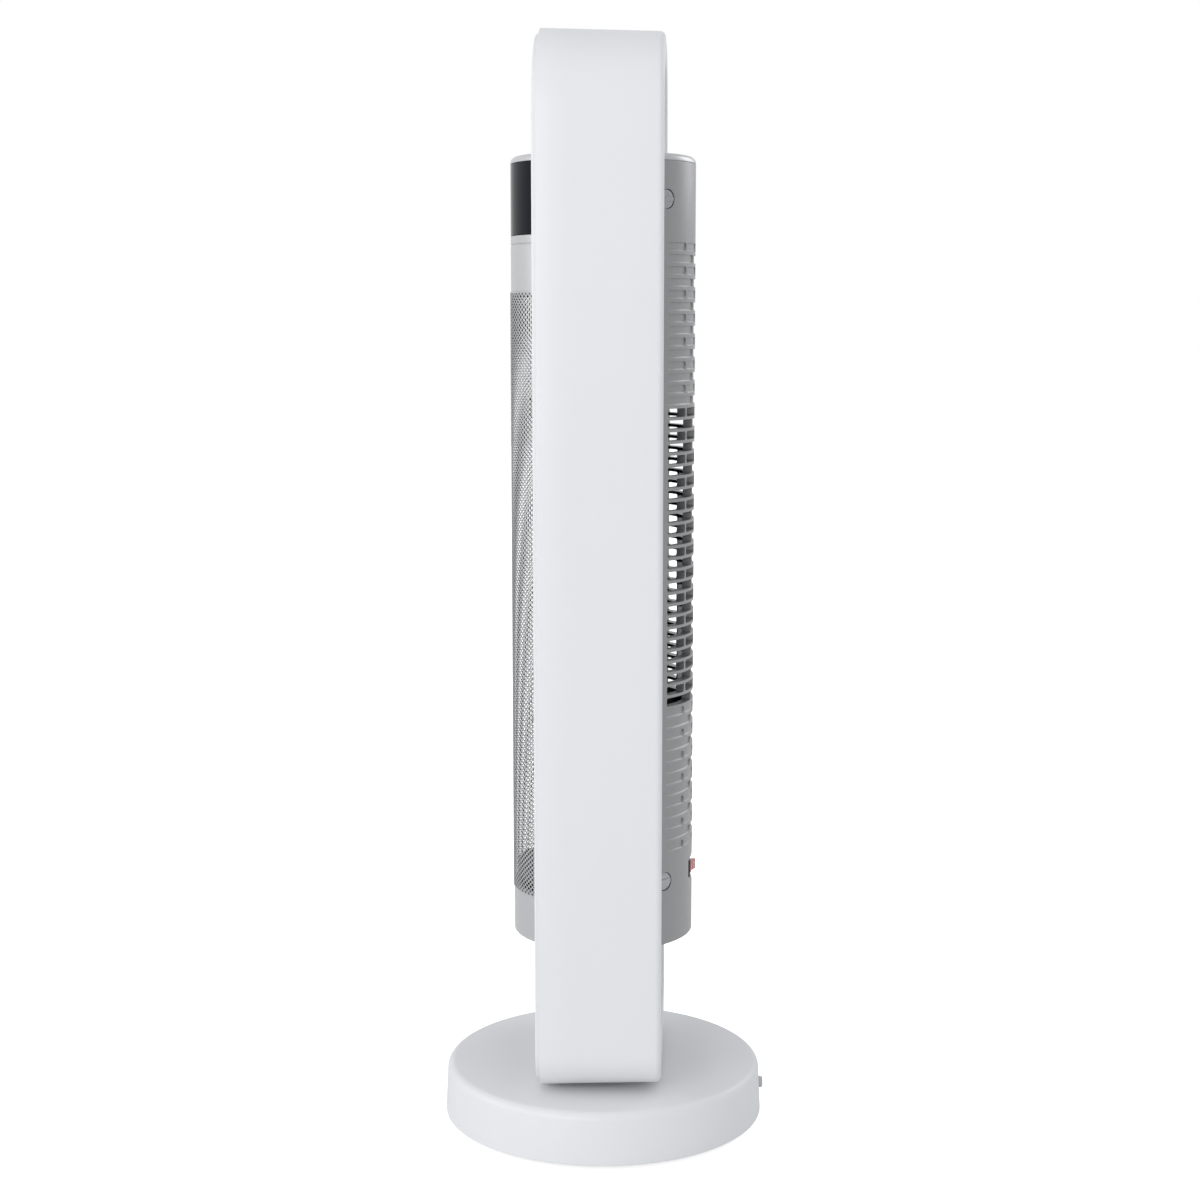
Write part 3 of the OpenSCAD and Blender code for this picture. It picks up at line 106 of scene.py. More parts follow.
# The column and its two shells; each HALF is an angle in degrees, and so is ARC_STEP
COL_R = 65.0
COL_IN_R = 62.5
COL_Z0 = 141.0
COL_Z1 = 690.0
CAP_TOP = 695.0
DISPLAY_Z0 = 640.5
COLLAR_Z = 634.0
COLLAR_LINE = 0.6
SHADOW_GAP = 0.1
FRONT_HALF = 96.18
REAR_HALF = 83.55
BUSH_HOLE_R = 15.3
BUSH_HOLE_X = (58, 70)
ARC_STEP = 2.0

# The mesh panel, whose HALF and LAP_TURN are in degrees, and one diamond of its lattice
MESH_Z0 = 174.0
MESH_Z1 = 602.0
MESH_HALF = 55.0
MESH_R0 = 64.7
MESH_R1 = 65.7
MESH_CORNER = 9.0
MESH_SEAT_GAP = 0.3
MESH_LAP = 3.0
MESH_LAP_TURN = 2.64
MESH_RIM = 0.9
DIAMOND_W = 4.6
DIAMOND_H = 3.6
STRAND_W = 0.4
STRAND_SLOPE = -0.12
STRAND_THICK = 0.32

# The rows of slots in the rear and the ribs between them; VENT_HALF and RIB_STEP in degrees
VENT_Z0 = 206.5
VENT_HALF = 44.0
ROW_PITCH = 8.1094
SLAT_H = 2.1
LOW_ROWS = 13
OPEN_END = 39
ALL_ROWS = 53
RIB_STEP = 24.5
RIB_W = 2.0
BLIND_DEPTH = 1.0
SLOT_CORNER = 1.5
LEDGE_RISE = 1.2
FIN_IN_R = 58.5

# The switch in its pocket
SWITCH_Z = 187.0
SWITCH_Y = 61.4
POCKET_W = 36.0
POCKET_H = 15.0
POCKET_Y = 62.4
POCKET_SPREAD = 0.15
BEZEL_W = 21.0
BEZEL_H = 12.9
BEZEL_FRAME = 2.4

# The plugs, at their angles from +X and heights
PLUG_R = 6.5
PLUG_DEEP = 0.8
PLUG_EDGE = 0.5
PLUG_ANGLE = 45.0
UPPER_PLUG_Z = 664.0
PLUG_PLACES = [(angle, z) for angle in (PLUG_ANGLE, HALF_TURN - PLUG_ANGLE)
               for z in (SWITCH_Z, UPPER_PLUG_Z)]


def make_camera():
    data = bpy.data.cameras.new("camera")
    data.sensor_width = FILM_W
    data.lens = LENS
    data.shift_x = SHIFT_PIXELS / PICTURE_W
    camera = bpy.data.objects.new("camera", data)
    camera.location = CAMERA_PLACE
    camera.rotation_euler = [math.radians(angle) for angle in CAMERA_TURN]
    scene.collection.objects.link(camera)
    scene.camera = camera


make_camera()


# Materials

class Signal:
    """Output of a shader node that takes part in Python arithmetic."""

    def __init__(self, graph, socket):
        self.graph = graph
        self.socket = socket

    def maths(self, operation, first, second):
        return self.graph.node("ShaderNodeMath", {"operation": operation}, {0: first, 1: second})

    def __add__(self, other):
        return self.maths("ADD", self, other)

    def __sub__(self, other):
        return self.maths("SUBTRACT", self, other)

    def __rsub__(self, other):
        return self.maths("SUBTRACT", other, self)

    def __mul__(self, other):
        return self.maths("MULTIPLY", self, other)

    __radd__ = __add__
    __rmul__ = __mul__


class Graph:
    """A node tree whose nodes are made from a type, its settings and its inputs."""

    def __init__(self, tree):
        self.tree = tree

    def feed(self, socket, value):
        if isinstance(value, Signal):
            self.tree.links.new(value.socket, socket)
        else:
            socket.default_value = value

    def node(self, kind, settings=None, inputs=None, output=0):
        node = self.tree.nodes.new(kind)
        for key, value in (settings or {}).items():
            setattr(node, key, value)
        for key, value in (inputs or {}).items():
            self.feed(node.inputs[key], value)
        return Signal(self, node.outputs[output])


class Finish(Graph):
    """One material: a Principled shader with what varies over the surface behind it."""

    def __init__(self, name, **constants):
        self.material = bpy.data.materials.new(name)
        self.material.use_nodes = True
        super().__init__(self.material.node_tree)
        self.shader = self.tree.nodes["Principled BSDF"]
        for key, value in constants.items():
            self.shader.inputs[key.replace("_", " ")].default_value = value
        self.place = self.node("ShaderNodeTexCoord", output="Object")

    def stretched(self, scale):
        return self.node("ShaderNodeMapping", None, {"Vector": self.place, "Scale": scale})

    def noise(self, scale, detail=3.0, rough=0.55, place=None):
        return self.node("ShaderNodeTexNoise", None, {
            "Vector": place or self.place, "Scale": scale, "Detail": detail, "Roughness": rough})

    def flakes(self, scale):
        return self.node("ShaderNodeTexVoronoi", None, {"Vector": self.place, "Scale": scale})

    def blend(self, factor, first, second):
        return self.node("ShaderNodeMix", {"data_type": "RGBA"}, {
            "Factor": factor, "A": (*first, 1), "B": (*second, 1)}, "Result")

    def colour(self, value):
        self.feed(self.shader.inputs["Base Color"], value)

    def gloss(self, value):
        self.feed(self.shader.inputs["Roughness"], value)

    def bump(self, height, strength, distance):
        normal = self.node("ShaderNodeBump", None, {
            "Height": height, "Strength": strength, "Distance": distance}, "Normal")
        self.feed(self.shader.inputs["Normal"], normal)


# Repeats per metre of the patterns, depths in metres, and shares of gloss and coat
FLOW_SCALE = 9
GLOSS_SCALE = 60
PEEL_SCALE = 240
GLOSS_SPREAD = 0.14
COAT_ROUGH = 0.12
PAINT_COAT = 0.15
PAINT_COAT_ROUGH = 0.25
FLAKE_SCALE = 2600
FLAKE_GAIN = 1.6
FINE_DEPTH = 0.00005
NOISE_MEAN = 0.5


def shade(colour, factor):
    """A darker or lighter shade of a colour."""
    return tuple(min(1.0, c * factor) for c in colour)


def moulded(name, colour, rough, grain=1400, depth=0.00006, spread=0.03, coat=0.0, **constants):
    """Moulded plastic: fine spark-eroded grain, faint flow variation and uneven gloss."""
    finish = Finish(name, Coat_Weight=coat, Coat_Roughness=COAT_ROUGH, **constants)
    darker, lighter = shade(colour, 1 - spread), shade(colour, 1 + spread)
    finish.colour(finish.blend(finish.noise(FLOW_SCALE), darker, lighter))
    finish.gloss(rough + (finish.noise(GLOSS_SCALE) - NOISE_MEAN) * GLOSS_SPREAD)
    finish.bump(finish.noise(grain, detail=2), strength=0.5, distance=depth)
    return finish.material


def painted(name, colour, rough, metal, flake=0.08):
    """Metallic paint on plastic: flakes, a faint orange peel and a thin clear coat."""
    finish = Finish(name, Metallic=metal, Coat_Weight=PAINT_COAT, Coat_Roughness=PAINT_COAT_ROUGH)
    sparkle = finish.flakes(FLAKE_SCALE) * FLAKE_GAIN
    finish.colour(finish.blend(sparkle, shade(colour, 1 + flake), shade(colour, 1 - flake)))
    finish.gloss(rough + (finish.noise(PEEL_SCALE) - NOISE_MEAN) * GLOSS_SPREAD)
    finish.bump(finish.noise(520, detail=3), strength=0.35, distance=FINE_DEPTH)
    return finish.material


def brushed(name, colour, rough, scale=(40, 40, 1800), metal=1.0):
    """Turned or rolled metal: fine lines in one direction and uneven gloss."""
    finish = Finish(name, Metallic=metal)
    lines = finish.noise(1.0, detail=3, rough=0.7, place=finish.stretched(scale))
    finish.colour(finish.blend(lines, shade(colour, 0.86), shade(colour, 1.08)))
    finish.gloss(rough + (lines - 0.4) * 0.3)
    finish.bump(lines, strength=0.25, distance=FINE_DEPTH)
    return finish.material


def cast(name, colour):
    """Rough casting with a few darker patches."""
    finish = Finish(name, Metallic=0.7)
    patches = finish.noise(45, detail=6, rough=0.65)
    finish.colour(finish.blend(patches, shade(colour, 0.6), shade(colour, 1.2)))
    finish.gloss(0.5 + patches * 0.35)
    finish.bump(finish.noise(420, detail=5, rough=0.6), strength=0.8, distance=0.0004)
    return finish.material


WHITE = (0.80, 0.805, 0.82)
SILVER = (0.55, 0.55, 0.56)
# Darker copy of SILVER for the rear shell: painted shade of the side that faces away from the lamps
SILVER_IN_PAINTED_SHADE = (0.36, 0.361, 0.364)

# After the name and colour: roughness, and for plastic the grain, its depth and colour spread
looks = {
    "white": moulded("satin_white_plastic", WHITE, 0.42, coat=0.12, spread=0.008),
    "silver": painted("silver_paint", SILVER, 0.36, 0.6),
    "shaded_silver_rear": painted("silver_painted_shade_rear", SILVER_IN_PAINTED_SHADE, 0.4, 0.45),
    "mesh": painted("mesh_paint", (0.56, 0.56, 0.57), 0.3, 0.9),
    "display": moulded("smoked_gloss_panel", (0.008, 0.009, 0.013), 0.06, 300, 0.000002, 0.1,
                       Specular_IOR_Level=0.08),
    # Lighter copy of SILVER for the cap: painted light on its top and rim
    "cap": painted("cap_paint_painted_light", shade(SILVER, 1.08), 0.34, 0.6),
    "plug": brushed("plug_metal", (0.44, 0.44, 0.45), 0.22, (900, 900, 40), 1.0),
    "dark": moulded("dark_plastic", (0.02, 0.02, 0.022), 0.5, 900, 0.0001, 0.2),
    "grey": moulded("grey_plastic", (0.09, 0.09, 0.093), 0.5, 900, 0.0001, 0.1),
    "pale": moulded("pale_grey_plastic", (0.56, 0.56, 0.575), 0.45, 1000, 0.00008, 0.03),
    "rubber": moulded("foot_rubber", (0.018, 0.018, 0.018), 0.8, 700, 0.0003, 0.25),
    "nylon": moulded("nylon", (0.68, 0.65, 0.55), 0.4, 900, 0.00005, 0.04),
    "steel": brushed("plated_steel", (0.55, 0.55, 0.56), 0.3),
    "can": brushed("motor_can", (0.58, 0.58, 0.59), 0.34, (30, 30, 900)),
    "fins": brushed("fin_aluminium", (0.34, 0.34, 0.35), 0.35, (900, 900, 60)),
    "bronze": brushed("bearing_bronze", (0.50, 0.33, 0.14), 0.35),
    "cast": cast("cast_ballast", (0.10, 0.10, 0.105)),
    "heat": moulded("heat_plastic", (0.055, 0.052, 0.05), 0.6, 500, 0.0002, 0.06),
    "board": moulded("circuit_board", (0.01, 0.085, 0.03), 0.35, 700, 0.00015, 0.35),
    "red": moulded("red_gloss_plastic", (0.42, 0.022, 0.032), 0.25, 500, 0.00001, 0.05, 0.5),
    "mark": moulded("white_ink", (0.75, 0.75, 0.75), 0.5, 900, 0.00002, 0.02),
}

NODE_LOOKS = {
    "base_plate": "grey", "ballast_ring": "cast", "rubber_feet": "rubber", "base_screws": "steel",
    "swivel_bush": "nylon", "swivel_motor": "can", "swivel_motor_screws": "steel",
    "drive_pinion": "nylon", "swivel_disc": "dark", "swivel_gear": "nylon",
    "gear_screws": "steel", "disc_screws": "steel", "loop_frame": "steel",
    "pivot_shafts": "steel", "pivot_screws": "steel", "pivot_washers": "nylon",
    "leg_cable": "dark", "display_board": "board", "cap_screws": "steel",
    "bottom_cover": "grey", "bottom_screws": "steel", "upper_plate": "grey",
    "lower_plate": "grey", "side_rails": "grey", "pivot_bushes": "nylon",
    "shell_screws": "steel", "duct_floor": "heat", "duct_roof": "heat", "scroll_wall": "dark",
    "tongue_wall": "dark", "blower_motor": "can", "blower_wheel": "dark",
    "blower_shaft": "steel", "upper_bearing": "bronze", "heater_frame": "heat",
    "heater_fins": "fins", "heater_bars": "steel", "thermal_cutout": "steel",
    "power_board": "board", "tip_switch": "dark",
}
for node_name, look in NODE_LOOKS.items():
    mesh = nodes[node_name].data
    mesh.materials.clear()
    mesh.materials.append(looks[look])


# Shapes, built in millimetres

def finished(bm, name):
    """Object from a shape, with its place in its mesh."""
    bmesh.ops.remove_doubles(bm, verts=bm.verts, dist=WELD)
    bmesh.ops.recalc_face_normals(bm, faces=bm.faces)
    bmesh.ops.scale(bm, vec=(MM, MM, MM), verts=bm.verts)
    mesh = bpy.data.meshes.new(name)
    bm.to_mesh(mesh)
    bm.free()
    obj = bpy.data.objects.new(name, mesh)
    scene.collection.objects.link(obj)
    return obj


def dressed(obj, look, body, slot, *stands_for, sharp=28):
    """Gives a piece its finish, the body that carries it and the CAD nodes that it stands for."""
    obj.data.materials.clear()
    obj.data.materials.append(looks[look])
    obj.data.shade_smooth()
    obj.data.set_sharp_from_angle(angle=math.radians(sharp))
    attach(obj, body)
    if stands_for:
        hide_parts(*stands_for)


def combined(obj, operation, *tools):
    """Keeps what a Boolean of the piece with each tool gives."""
    for tool in tools:
        modifier = obj.modifiers.new("tool", "BOOLEAN")
        modifier.operation = operation
        modifier.solver = "MANIFOLD"
        modifier.object = tool
    graph = bpy.context.evaluated_depsgraph_get()
    mesh = bpy.data.meshes.new_from_object(obj.evaluated_get(graph))
    obj.modifiers.clear()
    old = obj.data
    obj.data = mesh
    bpy.data.meshes.remove(old)
    mesh.name = obj.name
    for tool in tools:
        tool_mesh = tool.data
        bpy.data.objects.remove(tool)
        bpy.data.meshes.remove(tool_mesh)
    return obj


def joined(*shapes):
    """One shape made of several."""
    bm = bmesh.new()
    for shape in shapes:
        mesh = bpy.data.meshes.new("part")
        shape.to_mesh(mesh)
        shape.free()
        bm.from_mesh(mesh)
        bpy.data.meshes.remove(mesh)
    return bm


def placed(bm, *matrices):
    """Moves a shape by the product of places and turns, of which the last one acts first."""
    product = Matrix()
    for matrix in matrices:
        product = product @ matrix
    bmesh.ops.transform(bm, matrix=product, verts=bm.verts)
    return bm


def at(x, y, z):
    return Matrix.Translation((x, y, z))


def by(degrees, axis):
    return Matrix.Rotation(math.radians(degrees), 4, axis)


def outlined(corners, segments=6):
    """Flat face in the XZ plane from (across, up, radius) corners, rounded by vertex bevels."""
    bm = bmesh.new()
    verts = [bm.verts.new((across, 0, up)) for across, up, radius in corners]
    bm.faces.new(verts)
    for vert, (across, up, radius) in zip(verts, corners):
        if radius:
            before, after = [edge.other_vert(vert).co - vert.co for edge in vert.link_edges]
            reach = radius / math.tan(before.angle(after) / 2)
            bmesh.ops.bevel(bm, geom=[vert], offset=reach, offset_type="ABSOLUTE",
                            segments=segments, profile=0.5, affect="VERTICES", material=-1)
    return bm


def turned(corners, start=0.0, sweep=360.0, steps=192, segments=6):
    """Solid from an outline of (radius, height, rounding) turned about the vertical axis."""
    bm = outlined(corners, segments)
    bmesh.ops.delete(bm, geom=bm.faces[:], context="FACES_ONLY")
    on_axis = [edge for edge in bm.edges if all(abs(v.co.x) < WELD for v in edge.verts)]
    bmesh.ops.delete(bm, geom=on_axis, context="EDGES")
    whole = sweep >= 360
    placed(bm, by(start, "Z"))
    bmesh.ops.spin(bm, geom=bm.verts[:] + bm.edges[:], cent=(0, 0, 0), axis=(0, 0, 1),
                   angle=math.radians(sweep), steps=steps, use_merge=whole)
    if not whole:
        bmesh.ops.holes_fill(bm, edges=[e for e in bm.edges if e.is_boundary], sides=0)
    return bm


def curved_block(r0, r1, z0, z1, start, sweep, corner, ramp=0.0):
    """Block that follows the column, with rounded corners and, if asked, a sloped lower side."""
    bm = bmesh.new()
    profile = [(r0, z0), (r1, z0), (r1, z1), (r0, z1)]
    if ramp:
        lip_r, lip_z = COL_R - 0.15, z0 + 0.1
        profile = [(r0, z0 + ramp), (lip_r, lip_z), (r1, lip_z), (r1, z1), (r0, z1)]
    verts = [bm.verts.new((r, 0, z)) for r, z in profile]
    edges = [bm.edges.new((verts[i - 1], verts[i])) for i in range(len(verts))]
    placed(bm, by(start, "Z"))
    turn = bmesh.ops.spin(bm, geom=verts + edges, cent=(0, 0, 0), axis=(0, 0, 1),
                          angle=math.radians(sweep), steps=math.ceil(sweep / ARC_STEP))
    ends = edges + [item for item in turn["geom_last"] if isinstance(item, bmesh.types.BMEdge)]
    bmesh.ops.holes_fill(bm, edges=ends, sides=0)
    middle = (z0 + z1) / 2
    rounded = [edge for edge in ends
               if (edge.verts[0].co.z - middle) * (edge.verts[1].co.z - middle) > 0]
    bmesh.ops.bevel(bm, geom=rounded, offset=corner, offset_type="OFFSET", segments=4,
                    profile=0.5, affect="EDGES", material=-1)
    return bm


def curved_tool(*sizes):
    return finished(curved_block(*sizes), "tool")


def rod(radius, low, high, segments=96):
    """Round bar along the vertical axis."""
    bm = bmesh.new()
    bmesh.ops.create_cone(bm, cap_ends=True, segments=segments, radius1=radius, radius2=radius,
                          depth=high - low)
    bmesh.ops.translate(bm, vec=(0, 0, (low + high) / 2), verts=bm.verts)
    return bm


def pointing_out(bm, angle, z):
    """Lays a shape's upright axis level, at a height and at an angle from +X."""
    return placed(bm, at(0, 0, z), by(angle, "Z"), by(QUARTER_TURN, "Y"))


def pivot_holes(radius, inner, outer):
    """Tools for the two round openings on the tilt axis."""
    return [finished(pointing_out(rod(radius, low, high), 0, PIVOT_Z), "tool")
            for low, high in ((inner, outer), (-outer, -inner))]


def block(low, high, radius, segments=3):
    """Box between two corners with all its edges rounded."""
    bm = bmesh.new()
    bmesh.ops.create_cube(bm, size=1)
    bmesh.ops.scale(bm, vec=Vector(high) - Vector(low), verts=bm.verts)
    bmesh.ops.translate(bm, vec=(Vector(high) + Vector(low)) / 2, verts=bm.verts)
    bmesh.ops.bevel(bm, geom=bm.edges[:], offset=radius, offset_type="OFFSET",
                    segments=segments, profile=0.5, affect="EDGES", material=-1)
    return bm


def extruded(bm, depth):
    """Gives a flat face a depth along Y."""
    moved = bmesh.ops.extrude_face_region(bm, geom=bm.faces[:])["geom"]
    bmesh.ops.translate(bm, vec=(0, depth, 0),
                        verts=[item for item in moved if isinstance(item, bmesh.types.BMVert)])
    bmesh.ops.holes_fill(bm, edges=[e for e in bm.edges if e.is_boundary], sides=0)
    return bm


def lofted(rings):
    """Closed tube through rings of points, each extruded from the one before."""
    bm = bmesh.new()
    verts = [bm.verts.new(point) for point in rings[0]]
    edges = [bm.edges.new((verts[i - 1], verts[i])) for i in range(len(verts))]
    for ring in rings[1:] + rings[:1]:
        made = bmesh.ops.extrude_edge_only(bm, edges=edges)["geom"]
        fresh = {item for item in made if isinstance(item, bmesh.types.BMVert)}
        verts = [next(other for other in (edge.other_vert(vert) for edge in vert.link_edges)
                      if other in fresh) for vert in verts]
        edges = [item for item in made
                 if isinstance(item, bmesh.types.BMEdge) and fresh.issuperset(item.verts)]
        for vert, point in zip(verts, ring):
            vert.co = point
    return bm


def rounded_ring(half_w, low, high, foot_r, top_r, y, steps=24):
    """Rounded rectangle in the plane of the loop, always with the same number of points."""
    ring = []
    for quarter, (side, centre_z, radius) in enumerate((
            (1, high - top_r, top_r), (-1, high - top_r, top_r),
            (-1, low + foot_r, foot_r), (1, low + foot_r, foot_r))):
        for step in range(steps + 1):
            angle = math.radians(quarter * QUARTER_TURN + QUARTER_TURN * step / steps)
            ring.append((side * (half_w - radius) + radius * math.cos(angle), y,
                         centre_z + radius * math.sin(angle)))
    return ring


def outer_ring(inset, y):
    return rounded_ring(LOOP_HW - inset, LOOP_Z0 + inset, LOOP_Z1 - inset,
                        LOOP_FOOT_R - inset, LOOP_TOP_R - inset, y)


def inner_ring(grow, y):
    return rounded_ring(OPEN_HW + grow, OPEN_Z0 - grow, OPEN_Z1 + grow,
                        OPEN_FOOT_R + grow, OPEN_TOP_R + grow, y)


def rounding(ring, offset, y, across, along, steps=6, side_first=False):
    """Rings of a quarter round that goes across and along from a place on the loop."""
    rings = []
    for step in range(steps + 1):
        angle = math.radians(QUARTER_TURN * step / steps)
        slow, fast = 1 - math.cos(angle), math.sin(angle)
        side_share, y_share = (fast, slow) if side_first else (slow, fast)
        rings.append(ring(offset + across * side_share, y + along * y_share))
    return rings


def darken_inside(obj):
    """Gives the faces that look into the column dark plastic: partly the unpainted inside of the
    moulding, partly painted shade of the hollow seen through the mesh.
    """
    facing = -0.5
    obj.data.materials.append(looks["dark"])
    for face in obj.data.polygons:
        x, y, _ = face.center
        if x * face.normal.x + y * face.normal.y < facing * math.hypot(x, y):
            face.material_index = 1


# Base

def build_base():
    """Cover with its collar round the bush, and the gland of the lead in its rear wall."""
    in_r, in_top = BASE_TOP_R - BASE_WALL, BASE_TOP - BASE_WALL
    cover = finished(turned([
        (BASE_R - BASE_WALL, BASE_Z0, 0), (BASE_R, BASE_Z0, 0.6), (BASE_TOP_R, BASE_TOP, BASE_EDGE),
        (COLLAR_IN_R, BASE_TOP, 0.4), (COLLAR_IN_R, COLLAR_Z0, 0), (COLLAR_OUT_R, COLLAR_Z0, 0),
        (COLLAR_OUT_R, in_top, 0), (in_r, in_top, BASE_EDGE - BASE_WALL),
    ], segments=10), "base_cover_moulding")
    to_rear = at(0, 0, GLAND_Z), by(-QUARTER_TURN, "X")
    way_y0, way_y1 = 95, 130
    lead_way = placed(rod(GLAND_R, way_y0, way_y1, 48), *to_rear)
    combined(cover, "DIFFERENCE", finished(lead_way, "tool"))
    dressed(cover, "white", "base", "white_plastic", "base_cover")

    nut_y0, nut_y1, wall_y = 101.8, 106.6, BASE_R - 0.85
    lip_y = wall_y + 2.6
    gland = turned([
        (GLAND_BORE_R, nut_y0, 0.3), (GLAND_NUT_R, nut_y0, 0.5), (GLAND_NUT_R, nut_y1, 0.2),
        (GLAND_R, nut_y1 + 0.2, 0), (GLAND_R, wall_y - 0.4, 0), (GLAND_R + 0.3, wall_y, 0),
        (GLAND_R + 0.3, wall_y + 0.6, 0.2), (GLAND_R - 0.2, lip_y, 0.35),
        (GLAND_BORE_R, lip_y, 0.25),
    ], steps=64, segments=4)
    dressed(finished(placed(gland, *to_rear), "cord_gland_moulding"), "pale", "base",
            "pale_grey_plastic", "cord_gland")


# Loop

def drafted_ring(y):
    """Outline of the loop's outside, which narrows towards the rear."""
    return outer_ring(LOOP_DRAFT * (y - SHELL_Y0) / (BEVEL_Y - SHELL_Y0), y)


def rim_edge(ring):
    """Small rounding from the loop's flat front rim to one of its sides."""
    return [ring(RIM_EDGE, SHELL_Y0), ring(RIM_MIDDLE, SHELL_Y0 + RIM_MIDDLE),
            ring(0, SHELL_Y0 + RIM_EDGE)]


def build_loop():
    """Hollow loop with its rim pocket, and the front trim that plugs into the rim."""
    stations = (-20, 0, 20)
    back_in = SHELL_Y1 - LOOP_WALL
    rings = rim_edge(outer_ring) + [drafted_ring(y) for y in stations]
    rings += rounding(outer_ring, LOOP_DRAFT, BEVEL_Y, REAR_BEVEL, SHELL_Y1 - BEVEL_Y, 10)
    rings += rounding(inner_ring, OPEN_EDGE, SHELL_Y1, -OPEN_EDGE, -OPEN_EDGE, 6, True)
    rings += [inner_ring(0, y) for y in reversed(stations)] + rim_edge(inner_ring)[::-1]
    rings += [inner_ring(RIM_IN, SHELL_Y0), inner_ring(RIM_IN, MOUTH_Y),
              inner_ring(LOOP_WALL, MOUTH_Y), inner_ring(LOOP_WALL, back_in),
              outer_ring(LOOP_DRAFT + LOOP_WALL, back_in), outer_ring(LOOP_WALL, MOUTH_Y),
              outer_ring(RIM_OUT, MOUTH_Y), outer_ring(RIM_OUT, SHELL_Y0)]
    loop = finished(lofted(rings), "loop_moulding")
    disc_hole = finished(rod(DISC_HOLE_R, LOOP_Z0 - 4, LOOP_Z0 + 5, 128), "tool")
    combined(loop, "DIFFERENCE", disc_hole, *pivot_holes(PIVOT_R, OPEN_HW - 4, OPEN_HW + 8))
    dressed(loop, "white", "stand", "white_plastic", "loop_shell")

    seat_y = SHELL_Y0 - 0.02
    tenon_near, tenon_far = TRIM_TENON
    trim = [outer_ring(TRIM_INSET, seat_y)]
    trim += rounding(outer_ring, TRIM_INSET, TRIM_Y0 + TRIM_OUT_EDGE, TRIM_OUT_EDGE, -TRIM_OUT_EDGE)
    trim += rounding(inner_ring, TRIM_GROW + TRIM_IN_EDGE, TRIM_Y0, -TRIM_IN_EDGE, TRIM_IN_EDGE, 5,
                     True)
    trim += [inner_ring(TRIM_GROW, seat_y), outer_ring(tenon_far, seat_y),
             outer_ring(tenon_far, TENON_Y), outer_ring(tenon_near, TENON_Y),
             outer_ring(tenon_near, seat_y)]
    dressed(finished(lofted(trim), "loop_trim_moulding"), "white", "stand", "white_plastic",
            "loop_trim")


# Column

def build_front_shell():
    """The front half, with its collar groove, the mesh panel's seat and the window behind it."""
    groove_r, top = COL_R - COLLAR_LINE, DISPLAY_Z0 - SHADOW_GAP
    groove_z0, groove_z1 = COLLAR_Z + 0.1, COLLAR_Z + 0.7
    shell = finished(turned([
        (COL_IN_R, COL_Z0, 0), (COL_R, COL_Z0, 0.5), (COL_R, COLLAR_Z, 0.2),
        (groove_r, groove_z0, 0), (groove_r, groove_z1, 0), (COL_R, groove_z1 + 0.1, 0.2),
        (COL_R, top, 0.4), (COL_IN_R, top, 0),
    ], -QUARTER_TURN - FRONT_HALF, 2 * FRONT_HALF, 128), "front_shell_moulding")
    seat_half = MESH_HALF + MESH_SEAT_GAP
    seat = curved_tool(MESH_R0 - 0.05, COL_R + 3, MESH_Z0 - MESH_SEAT_GAP, MESH_Z1 + MESH_SEAT_GAP,
                       -QUARTER_TURN - seat_half, 2 * seat_half, MESH_CORNER + MESH_SEAT_GAP)
    window_half = MESH_HALF - MESH_LAP_TURN
    window = curved_tool(COL_IN_R - 4, COL_R + 3, MESH_Z0 + MESH_LAP, MESH_Z1 - MESH_LAP,
                         -QUARTER_TURN - window_half, 2 * window_half, MESH_CORNER - MESH_LAP)
    combined(shell, "DIFFERENCE", seat, window, *pivot_holes(BUSH_HOLE_R, *BUSH_HOLE_X))
    dressed(shell, "silver", "column", "silver_paint", "front_shell")
    # Dark inner faces, partly bare plastic and partly painted shade
    darken_inside(shell)


def slots():
    """One tool for all slots: shallow ones above and below, open ones between."""
    cutters = []
    rib_half = math.degrees(RIB_W / COL_R) / 2
    for row in range(ALL_ROWS):
        z0 = VENT_Z0 + row * ROW_PITCH + SLAT_H / 2
        z1 = z0 + ROW_PITCH - SLAT_H
        is_open = LOW_ROWS <= row < OPEN_END
        deep_r = FIN_IN_R - 1 if is_open else COL_R - BLIND_DEPTH
        places = (-1, 0, 1) if row % 2 == 0 else (-0.5, 0.5)
        ribs = [QUARTER_TURN + place * RIB_STEP for place in places]
        starts = [QUARTER_TURN - VENT_HALF] + [rib + rib_half for rib in ribs]
        ends = [rib - rib_half for rib in ribs] + [QUARTER_TURN + VENT_HALF]
        for start, end in zip(starts, ends):
            cutters.append(curved_block(deep_r, COL_R + 1.3, z0, z1, start, end - start,
                                        SLOT_CORNER, 0.0 if is_open else LEDGE_RISE))
    return finished(joined(*cutters), "tool")


def plug_tools(radius, inner, outer):
    """Round tools at the four plugs."""
    return [finished(pointing_out(rod(radius, inner, outer, 64), angle, z), "tool")
            for angle, z in PLUG_PLACES]


